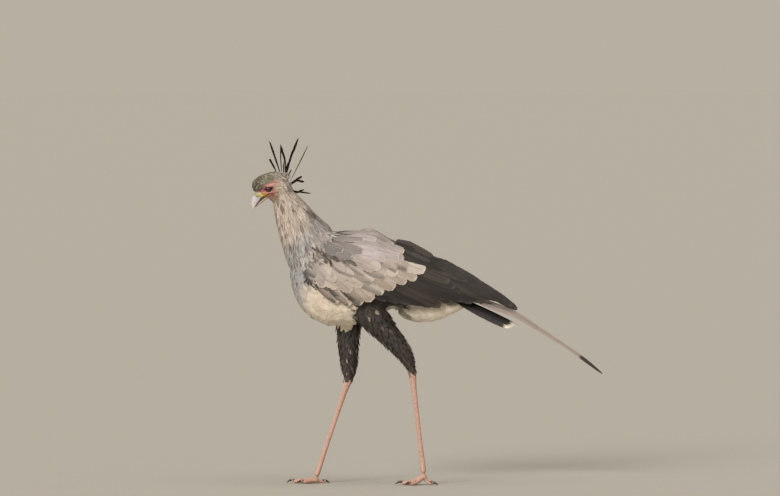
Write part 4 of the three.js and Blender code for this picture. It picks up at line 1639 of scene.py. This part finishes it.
def banded(count, rows, columns, base, bands):
    """Colours for feathers with bands across, each given by where it starts and ends, and its colour."""

    def tones(share):
        line = np.broadcast_to(paint(*base), (rows, 3)).copy()
        for start, end, colour in bands:
            band = smooth(start - 0.015, start + 0.015, share) * smooth(end + 0.015, end - 0.015, share)
            line = blend(line, paint(*colour), band)
        return np.broadcast_to(line[None, :, None], (count, rows, columns, 3))

    return tones


RECTRICES = 4
TAIL_ROOT = (70, 552)
TAIL_SLOPE = 0.455
# The long middle pair as x, out from the middle, z and half width
STREAMER = [
    (60, 8, 577, 9), (149, 14, 536, 18), (251, 13, 495, 14), (323, 12, 451, 10.5), (407, 11, 396, 8.5),
    (455, 10, 362, 9.5), (511, 10, 317.5, 7),
]
STREAMER_BANDS = [(0.775, 0.985, (38, 34, 33)), (0.985, 1.1, (214, 204, 190))]


def make_tail():
    rng = np.random.default_rng(71)
    lines, sideways, halves = [], [], []
    for side in (LEFT, RIGHT):
        for i in range(RECTRICES):
            reach, drop = 186 - 7 * i, 3 + 5.4 * i
            line = [
                (
                    TAIL_ROOT[0] + reach * share,
                    side * (6 + 5.6 * i + 6 * share),
                    TAIL_ROOT[1] - drop * (0.4 + 0.6 * share) - reach * share * TAIL_SLOPE,
                )
                for share in np.linspace(-0.12, 1, 6)
            ]
            lean = math.radians(-26 - 6 * i)
            lines.append(line)
            sideways.append((0, -math.cos(lean), -side * math.sin(lean)))
            halves.append((9, 14, 17, 18, 18, 17))
    form = dict(blunt=6.0, point=0.5, jag=0.07, columns=7, sweep=0.4, cup=0.14, thick=0.7)
    count, rows = len(lines), 30
    tones = banded(count, rows, 7, (36, 33, 33), [(0.915, 1.1, (222, 214, 198))])
    fan = free_feathers(np.array(lines), np.array(sideways), np.array(halves, float), rows, rng, tones, form)
    piece = feather_piece("tail_fan_feathers", fan, TAIL_FEATHER)
    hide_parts("tail_fan")
    for name, side in SIDES.items():
        table = np.array(STREAMER, float)
        line = table[:, [0, 1, 2]] * (1, side, 1)
        form = dict(blunt=9.0, point=0.5, jag=0.10, columns=7, sweep=0.35, cup=0.12, thick=0.8)
        lean = math.radians(42)
        way = np.array([(0, -math.cos(lean), side * math.sin(lean))])
        tones = banded(1, 60, 7, (150, 138, 132), STREAMER_BANDS)
        lot = free_feathers(line[None], way, table[None, :, 3], 60, rng, tones, form)
        piece = feather_piece(f"tail_streamer_feather_{name}", lot, TAIL_FEATHER)
        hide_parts(f"tail_streamer_{name}")


# Crest plumes: root, middle and tip as (x, z), how far the tip lies to the side, and half width
PLUMES = [
    ((-436, 898), (-453, 930), (-462, 946), -6, 4.2),
    ((-428, 896), (-446, 950), (-462, 997), 5, 4.2),
    ((-425, 892), (-429, 940), (-430, 986), 12, 2.2),
    ((-415, 886), (-417, 940), (-430, 988), -12, 4.2),
    ((-417, 884), (-402, 945), (-378, 1007), -4, 4.6),
    ((-404, 876), (-376, 932), (-350, 985), 14, 1.9),
    ((-406, 872), (-383, 886), (-367, 895), -16, 4.5),
    ((-404, 868), (-381, 883), (-361, 880), -24, 4.5),
    ((-404, 862), (-383, 849), (-361, 857), -20, 3.8),
    ((-402, 856), (-378, 850), (-342, 845), 18, 3.0),
    ((-417, 886), (-414, 912), (-408, 936), -9, 2.6),
    ((-422, 890), (-421, 914), (-422, 936), 3, 2.2),
    ((-412, 884), (-406, 900), (-398, 916), -14, 2.4),
]


def make_crest():
    """The loose black plumes of the nape, narrow at the foot and spoon-shaped at the end."""
    rng = np.random.default_rng(83)
    lines, sideways, halves = [], [], []
    for root, middle, tip, out, half in PLUMES:
        line = [
            (root[0], out * 0.4, root[1]),
            (middle[0], out * 0.7, middle[1]),
            ((middle[0] + tip[0]) / 2, out * 0.86, (middle[1] + tip[1]) / 2),
            (tip[0], out, tip[1]),
        ]
        way = np.array([tip[0] - root[0], tip[1] - root[1]], float)
        way /= np.hypot(*way)
        twist = rng.uniform(-0.5, 0.5)
        lines.append(line)
        sideways.append((-way[1] * math.cos(twist), math.sin(twist), way[0] * math.cos(twist)))
        halves.append((half * 0.6, half * 0.75, half * 0.9, half * 0.85))
    count, rows = len(lines), 26
    form = dict(blunt=5.0, point=0.6, jag=0.32, columns=5, sweep=0.9, cup=0.15, thick=0.6)
    tones = banded(count, rows, 5, (30, 20, 12), [])
    lot = free_feathers(np.array(lines, float), np.array(sideways), np.array(halves), rows, rng, tones, form)
    feather_piece("crest_plumes", lot, PLUME_FEATHER)


# Where the tuft grows round the plumes' feet, as (x, z), how many vanes, and their length and half width
TUFT_PLACE = (-424, 891)
TUFT_VANES = 46
TUFT_SIZE = (21, 2.6)


def make_tuft():
    """Short pale grey feathers that stand up round the feet of the plumes."""
    rng = np.random.default_rng(89)
    lines, sideways = [], []
    for _ in range(TUFT_VANES):
        x, z = TUFT_PLACE + np.array((0.9, -0.5)) * rng.normal(0, 9)
        out = rng.normal(0, 10)
        lean = math.radians(rng.normal(84, 16) + 1.6 * (TUFT_PLACE[0] - x))
        reach = TUFT_SIZE[0] * rng.uniform(0.6, 1.15)
        way = np.array([math.cos(lean), 0.02 * out, math.sin(lean)])
        start = np.array([x, out, z - 0.06 * out**2])
        bend = np.array([0.12, 0, -0.04]) * reach
        lines.append([start - 4 * way, start + way * reach * 0.3, start + way * reach * 0.65 + bend * 0.4,
                      start + way * reach + bend])
        sideways.append((-math.sin(lean), rng.uniform(-0.5, 0.5), math.cos(lean)))
    half = np.full((TUFT_VANES, 4), TUFT_SIZE[1]) * rng.uniform(0.7, 1.2, TUFT_VANES)[:, None]
    form = dict(blunt=2.0, point=0.7, jag=0.4, columns=3, sweep=0.6, cup=0.2, thick=0.5)
    rows = 8
    tones = banded(TUFT_VANES, rows, 3, (150, 142, 138), [(0.5, 1.1, (170, 162, 157))])
    lot = free_feathers(np.array(lines), np.array(sideways), half, rows, rng, tones, form)
    feather_piece("crest_tuft", lot, SOFT_FEATHER)


# The bill

# The bill as rings of x, out, z, half height and half width, from its root to the hooked tip
UPPER_BILL = [
    (-452, 0, 848, 3, 15), (-464, 0, 848.5, 7.5, 15), (-476, 0, 846, 11, 14), (-490, 0, 841, 14.4, 11.6),
    (-500, 0, 828, 13.6, 8.8), (-506, 0, 814.5, 9, 5.6), (-507.6, 0, 806, 4.4, 3.2), (-505.5, 0, 799, 1, 1),
]
LOWER_BILL = [
    (-450, 0, 843.5, 3, 13), (-466, 0, 836.6, 4.1, 11.5), (-478, 0, 828.4, 4.4, 9), (-489, 0, 819.4, 4, 6.2),
    (-496.5, 0, 812, 2.5, 3.6), (-500, 0, 807.5, 1.0, 1.6),
]


def upper_form(turn, share):
    """A high narrow ridge above and a sharp cutting edge below."""
    down = np.sin(turn)
    wide = np.sign(np.cos(turn)) * np.abs(np.cos(turn)) ** np.where(down > 0, 0.55, 1.05)
    high = np.where(down > 0, np.abs(down) ** 0.8 * 0.9, -np.abs(down) ** 0.92)
    return wide * (1 - 0.12 * np.maximum(-down, 0)), high + 0 * share


def bill_colour(points, edge):
    """Yellow skin at the root, pale blue-grey horn in front, darker towards the tip."""
    x, z = points[:, 0], points[:, 2]
    horn = blend(paint(196, 192, 198), paint(214, 200, 198), smooth(826, 808, z))
    front = smooth(837, 829, z + 0.35 * (x + 490))
    cere = blend(paint(216, 180, 84), paint(164, 156, 116), smooth(-482, -494, x))
    cere = blend(cere, paint(190, 150, 128), smooth(846, 851, z))
    coloured = blend(cere, horn, front)
    shade = np.exp(-(((x + 499) / 5) ** 2) - ((z - 837) / 3.2) ** 2)
    coloured = blend(coloured, paint(118, 116, 92), 0.55 * shade)
    slit = np.exp(-(((x + 497.5) / 2.6) ** 2) - ((z - 836) / 1.1) ** 2)
    coloured = blend(coloured, paint(34, 28, 26), np.clip(1.6 * slit, 0, 1))
    return blend(coloured, paint(48, 36, 26), edge)


def round_share(low, high, around, along):
    """How far the way round each point of a loft lies between two heights, 0 on its end points."""
    height = np.sin(np.linspace(0, 2 * math.pi, around, endpoint=False))
    return np.append(np.tile(smooth(low, high, height), along), [0, 0])


def make_bill():
    points, faces = loft_points(UPPER_BILL, 48, 60, upper_form)
    slit = np.exp(-(((points[:, 0] + 497.5) / 2.4) ** 2) - ((points[:, 2] - 836) / 1.2) ** 2)
    cere = np.exp(-(((points[:, 0] + 491 + 0.25 * (points[:, 2] - 838)) / 1.6) ** 2))
    points[:, 1] *= 1 - 0.16 * slit + 0.05 * cere
    upper = made_object("bill_upper_horn", points, faces, HORN)
    give_colour(upper, bill_colour(points, 0.85 * round_share(0.35, 0.7, 48, 60)))
    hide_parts("bill_upper")
    points, faces = loft_points(LOWER_BILL, 36, 36, oval)
    lower = made_object("bill_lower_horn", points, faces, HORN)
    yellow = smooth(-492, -484, points[:, 0])
    coloured = blend(paint(204, 190, 172), paint(206, 188, 152), yellow)
    top = round_share(0.05, -0.4, 36, 36)
    give_colour(lower, blend(coloured, paint(60, 44, 34), 0.8 * top))
    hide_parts("bill_lower")


# The eyes


def eye_material():
    """Wet and glossy: pupil, hazel iris with fine rays, a dark ring and a brown white."""
    material, tree, shader = new_material("eye", 0.12, Coat_Weight=0.5, Coat_Roughness=0.03)
    out, round_it, _ = parts_node(tree, attribute(tree, "gaze").outputs["Vector"])
    rays = tree.nodes.new("ShaderNodeTexNoise")
    rays.noise_dimensions = "2D"
    rays.inputs["Scale"].default_value = 9.0
    join = tree.nodes.new("ShaderNodeCombineXYZ")
    tree.links.new(sum_node(tree, "MULTIPLY", round_it, 2.4), join.inputs[0])
    tree.links.new(sum_node(tree, "MULTIPLY", out, 0.5), join.inputs[1])
    tree.links.new(join.outputs[0], rays.inputs["Vector"])
    ray = step_node(tree, 0.35, 0.7, rays.outputs["Fac"])
    iris = mix_node(tree, ray, paint(48, 28, 16), paint(86, 54, 30))
    limbus = step_node(tree, 0.40, 0.50, out)
    iris = mix_node(tree, limbus, iris, paint(24, 14, 10))
    pupil = step_node(tree, 0.235, 0.215, out)
    coloured = mix_node(tree, pupil, iris, paint(4, 4, 4))
    white = step_node(tree, 0.50, 0.62, out)
    coloured = mix_node(tree, white, coloured, paint(34, 22, 20))
    tree.links.new(coloured, shader.inputs["Base Color"])
    return material


def make_eye(name, side, material):
    """An eyeball with its clear bulge, looking out and a little forward."""
    rows, around = 64, 72
    angle = np.linspace(0, math.pi, rows)
    turn = np.linspace(0, 2 * math.pi, around, endpoint=False)
    radius = EYE_RADIUS + 0.55 * smooth(0.78, 0.1, angle)
    gaze = unit(np.array([-0.16, side * 1.0, 0.02]))
    right = unit(np.cross(gaze, (0, 0, 1)))
    up = np.cross(right, gaze)
    ring = np.cos(turn)[None, :, None] * right + np.sin(turn)[None, :, None] * up
    out, away = np.cos(angle)[:, None, None], np.sin(angle)[:, None, None]
    shape = radius[:, None, None] * (out * gaze + away * ring)
    inner = shape[1:-1].reshape(-1, 3)
    middle = EYE_PLACE * (1, side, 1)
    points = np.vstack([inner, radius[0] * gaze, -radius[-1] * gaze]) + middle
    faces = facing_out(points, tube_faces(rows - 2, around), middle)
    eye = made_object(f"eyeball_{name}", points, faces, material)
    out = np.concatenate([np.repeat(angle[1:-1], around), [0, math.pi]])
    places = np.concatenate([np.tile(turn, rows - 2), [0, 0]])
    give_vector(eye, np.stack([out, np.cos(places), np.sin(places)], 1), "gaze")
    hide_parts(f"eye_{name}")


def bristle(start, way, length, thick, curl, rows=6):
    """A fine tapering hair, as points and faces."""
    way = np.array(way, float) / np.linalg.norm(way)
    rings = []
    for share in np.linspace(0, 1, rows):
        spot = start + way * length * share + curl * length * share**2
        size = thick * (1 - 0.85 * share)
        rings.append((*spot, size, size))
    return loft_points(rings, 5, rows, oval)


RIM_PLACES = 48
UPPER_LASHES = 18
LOWER_LASHES = 9


def on_rim(rim, degrees):
    """The place on the lids' rim at an angle round the eye."""
    number = int(round(math.radians(degrees) / (2 * math.pi) * RIM_PLACES)) % RIM_PLACES
    return rim[number][:3]


def make_lashes():
    """Long black lashes on the upper lid, short ones below, and the dark rim of the lids."""
    rng = np.random.default_rng(5)
    lots = []
    for side in (LEFT, RIGHT):
        rim = []
        for turn in np.linspace(0, 2 * math.pi, RIM_PLACES + 1)[:-1]:
            u, v = EYE_OPENING[0] * math.cos(turn), EYE_OPENING[1] * math.sin(turn)
            v /= 1 + 0.35 * (u / EYE_OPENING[0]) ** 2
            x = EYE_PLACE[0] + u * math.cos(EYE_TILT) - v * math.sin(EYE_TILT)
            z = EYE_PLACE[2] + u * math.sin(EYE_TILT) + v * math.cos(EYE_TILT)
            out = EYE_PLACE[1] + math.sqrt(max((EYE_RADIUS + 0.75) ** 2 - u * u - v * v, 0))
            rim.append((x, side * out, z, 0.55, 0.55))
        rim.append(rim[0])
        lots.append(loft_points(rim, 8, 96, oval))
        for i in range(UPPER_LASHES):
            share = i / (UPPER_LASHES - 1)
            x, out, z = on_rim(rim, 172 - 158 * share)
            lean = 0.9 * (share - 0.35)
            way = (lean + rng.normal(0, 0.08), side * 1.0, 0.4 + rng.normal(0, 0.08))
            curl = np.array([0.25 * (share - 0.2), side * -0.05, 0.42])
            length = 6.5 + 4.5 * math.sin(math.pi * share)
            lots.append(bristle(np.array([x, out, z]), way, length, 0.34, curl))
        for i in range(LOWER_LASHES):
            x, out, z = on_rim(rim, 200 + 17 * i)
            way = (0.3 * (i / (LOWER_LASHES - 1) - 0.4), side * 1.0, -0.4 + rng.normal(0, 0.06))
            lots.append(bristle(np.array([x, out, z]), way, 3.4, 0.26, np.array([0.1, 0, -0.2])))
    starts = np.cumsum([0] + [len(points) for points, _ in lots[:-1]])
    faces = [np.vstack([lot[1][kind] + start for lot, start in zip(lots, starts)]) for kind in (0, 1)]
    made_object("lashes", np.vstack([points for points, _ in lots]), faces, LASH)


# Legs, feet and claws

# Ankle and toe joint of each leg as (x, z), and the toes as length, angle out from straight ahead, and girth
SHANKS = {"left": ((-49, 336), (-13.8, 28)), "right": ((-231, 308), (-329.3, 14))}
STANCE = 38
TOES = {"inner": (46, -32, 7.4), "middle": (66, 2, 8.0), "outer": (50, 34, 7.2), "hind": (26, 164, 6.0)}


def plate(surface, middle, way, front, turns, start, end, lift):
    """One scale on a limb: middle and way give the limb's line, turns how far round it reaches, start and end
    how far along, and front the direction of no turn."""
    rows, columns = 5, 7
    side = np.cross(way, front)
    top = np.empty((rows, columns, 3))
    for r, share in enumerate(np.linspace(0, 1, rows)):
        centre = middle + way * (start + (end - start) * share)
        for k, off in enumerate(np.linspace(0, 1, columns)):
            turn = math.radians(turns[0] + (turns[1] - turns[0]) * off)
            out = front * math.cos(turn) + side * math.sin(turn)
            hit = surface.tree.ray_cast(Vector(centre + out * 40), Vector(-out), 40)[0]
            spot = np.array(hit) if hit is not None else centre + out * 7
            crown = math.sin(math.pi * off) ** 0.5 * (0.25 + 0.75 * share**0.6)
            crown *= 1.0 if share < 0.95 else 0.35
            top[r, k] = spot + out * (lift * crown - 0.25)
    under = middle + way * (start + (end - start) * np.linspace(0, 1, rows))[:, None]
    return top, under


def leg_scales(name, side, surface, rng):
    """Broad scales down the front of the shank, smaller ones round the back and on the toes."""
    ankle, joint = SHANKS[name]
    start = np.array([ankle[0], side * (STANCE + 3), ankle[1]], float)
    end = np.array([joint[0], side * STANCE, joint[1]], float)
    length = np.linalg.norm(end - start)
    way = (end - start) / length
    front = unit(np.array([-1.0, 0, 0]) - way * (-way[0]))
    tops, unders = [], []

    def add(*given):
        top, under = plate(surface, *given)
        tops.append(top)
        unders.append(under)

    place = 4.0
    while place < length - 14:
        tall = 8.5 + 1.5 * rng.random()
        add(start, way, front, (-68, 68), place, place + tall + 1.2, 0.75)
        place += tall
    place = 4.0
    while place < length - 14:
        for number, low in enumerate(range(66, 294, 38)):
            stagger = 2.7 if number % 2 else 0
            add(start, way, front, (low, low + 38), place + stagger, place + 6.6 + stagger, 0.6)
        place += 5.6
    for toe, (reach, out, girth) in TOES.items():
        turn = math.radians(out)
        forward = np.array([-math.cos(turn), side * math.sin(turn), 0.0])
        high = max(joint[1] - 3, girth)
        first = end.copy()
        first[2] = high
        last = end + forward * reach
        last[2] = girth - 1.8
        down = unit(last - first)
        up = unit(np.array([0, 0, 1.0]) - down * down[2])
        total = np.linalg.norm(last - first)
        place = 8.0 if toe != "hind" else 10.0
        while place < total - 1:
            tall = 4.6
            add(first, down, up, (-72, 72), place, place + tall + 1.0, 0.6)
            place += tall
    return np.array(tops), np.array(unders)


def make_leg_scales(surface):
    for name, side in SIDES.items():
        rng = np.random.default_rng(97)
        top, under = leg_scales(name, side, surface, rng)
        count = len(top)
        share = np.broadcast_to(np.linspace(0, 1, top.shape[1])[None], (count, top.shape[1]))
        tone = np.broadcast_to(paint(206, 168, 152), (count, 3)) * rng.uniform(0.86, 1.08, count)[:, None]
        colours = np.broadcast_to(tone[:, None, None], (*top.shape[:3], 3))
        across = np.linspace(-1, 1, top.shape[2])
        roots = top[:, 0, top.shape[2] // 2]
        places = np.column_stack([unwrapped(roots), np.full((count, 2), PATCH)])
        lot = vane_mesh(top, under, share, across, rng.random(count), colours, places)
        feather_piece(f"leg_scales_{name}", lot, SCALE)


# A claw as rings: how far beyond the toe, how far above its middle, or None at the tip, and half height
CLAW_RINGS = [
    (-5, 0.6, 3.6), (0, 1.5, 3.8), (4, 1.5, 3.5), (9, 0.2, 2.8), (13, -2.2, 1.9), (16, -4.2, 1.1),
    (17.3, None, 0.4),
]
CLAW_TIP_HEIGHT = 1.9


def make_claws():
    for name, side in SIDES.items():
        joint = SHANKS[name][1]
        for toe, (length, out, girth) in TOES.items():
            turn = math.radians(out)
            rings = []
            for beyond, above, size in CLAW_RINGS:
                high = CLAW_TIP_HEIGHT if above is None else girth + above
                reach = length + beyond
                x = joint[0] - math.cos(turn) * reach
                rings.append((x, side * (STANCE + math.sin(turn) * reach), high, size, size * 0.8))
            tilt = (math.sin(turn), side * math.cos(turn), 0)
            points, faces = loft_points(rings, 24, 28, oval, tilt)
            claw = made_object(f"claw_horn_{name}_{toe}", points, faces, CLAW)
            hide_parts(f"claw_{name}_{toe}")


# The room: floor, light and camera


FLOOR_HALF = 120  # metres
FLOOR_PAINT = (169, 166, 160)
AIR_PAINT = (183, 175, 161)
# The lamps: the way they shine, strength, spread in degrees and colour
LAMPS = {
    "key": ((0.45, 0.76, -0.44), 2.9, 24, (1.0, 0.95, 0.88)),
    "top": ((-0.2, 0.25, -0.95), 0.8, 45, (1.0, 0.97, 0.93)),
}


def make_room():
    mesh = bpy.data.meshes.new("floor")
    corners = [(x * FLOOR_HALF, y * FLOOR_HALF, 0) for x, y in ((-1, -1), (1, -1), (1, 1), (-1, 1))]
    mesh.from_pydata(corners, [], [(0, 1, 2, 3)])
    floor = placed("floor", mesh)
    material, _, shader = new_material("floor", 0.9)
    shader.inputs["Base Color"].default_value = (*paint(*FLOOR_PAINT), 1)
    mesh.materials.append(material)
    world = bpy.data.worlds.new("room")
    bpy.context.scene.world = world
    world.use_nodes = True
    light = world.node_tree.nodes["Background"]
    light.inputs["Color"].default_value = (*paint(*AIR_PAINT), 1)
    for name, (way, strength, spread, colour) in LAMPS.items():
        lamp = bpy.data.lights.new(name, "SUN")
        lamp.energy = strength
        lamp.angle = math.radians(spread)
        lamp.color = colour
        placed(name, lamp).rotation_euler = Vector(way).to_track_quat("-Z", "Y").to_euler()


# The camera's place and what it looks at, in metres, and its lens
CAMERA_PLACE = Vector((-0.112, -20.0, 1.334))
CAMERA_AIM = Vector((-0.112, 0.0, 0.687))
FOCAL_LENGTH = 318
FILM_WIDTH = 36
SIGHT = 500


def make_camera():
    """Above the bird's head, far off, looking across it as the photograph does."""
    lens = bpy.data.cameras.new("camera")
    lens.sensor_width = FILM_WIDTH
    lens.lens = FOCAL_LENGTH
    lens.clip_end = SIGHT
    camera = placed("camera", lens)
    camera.location = CAMERA_PLACE
    camera.rotation_euler = (CAMERA_AIM - CAMERA_PLACE).to_track_quat("-Z", "Y").to_euler()
    bpy.context.scene.camera = camera


# The bird

bpy.context.scene.view_settings.view_transform = "Standard"
make_camera()
make_room()
COAT = Surface(*body_surface(FLESH + LEG_SKIN + ARMS + BLADES, 0.5, 3))
skin_surface = make_skin()
make_bill()
EYE = eye_material()
for eye_name, eye_side in SIDES.items():
    make_eye(eye_name, eye_side, EYE)
make_lashes()
make_claws()
make_leg_scales(skin_surface)
make_body_coat()
make_thigh_coat()
make_wings()
make_tail()
make_crest()
make_tuft()
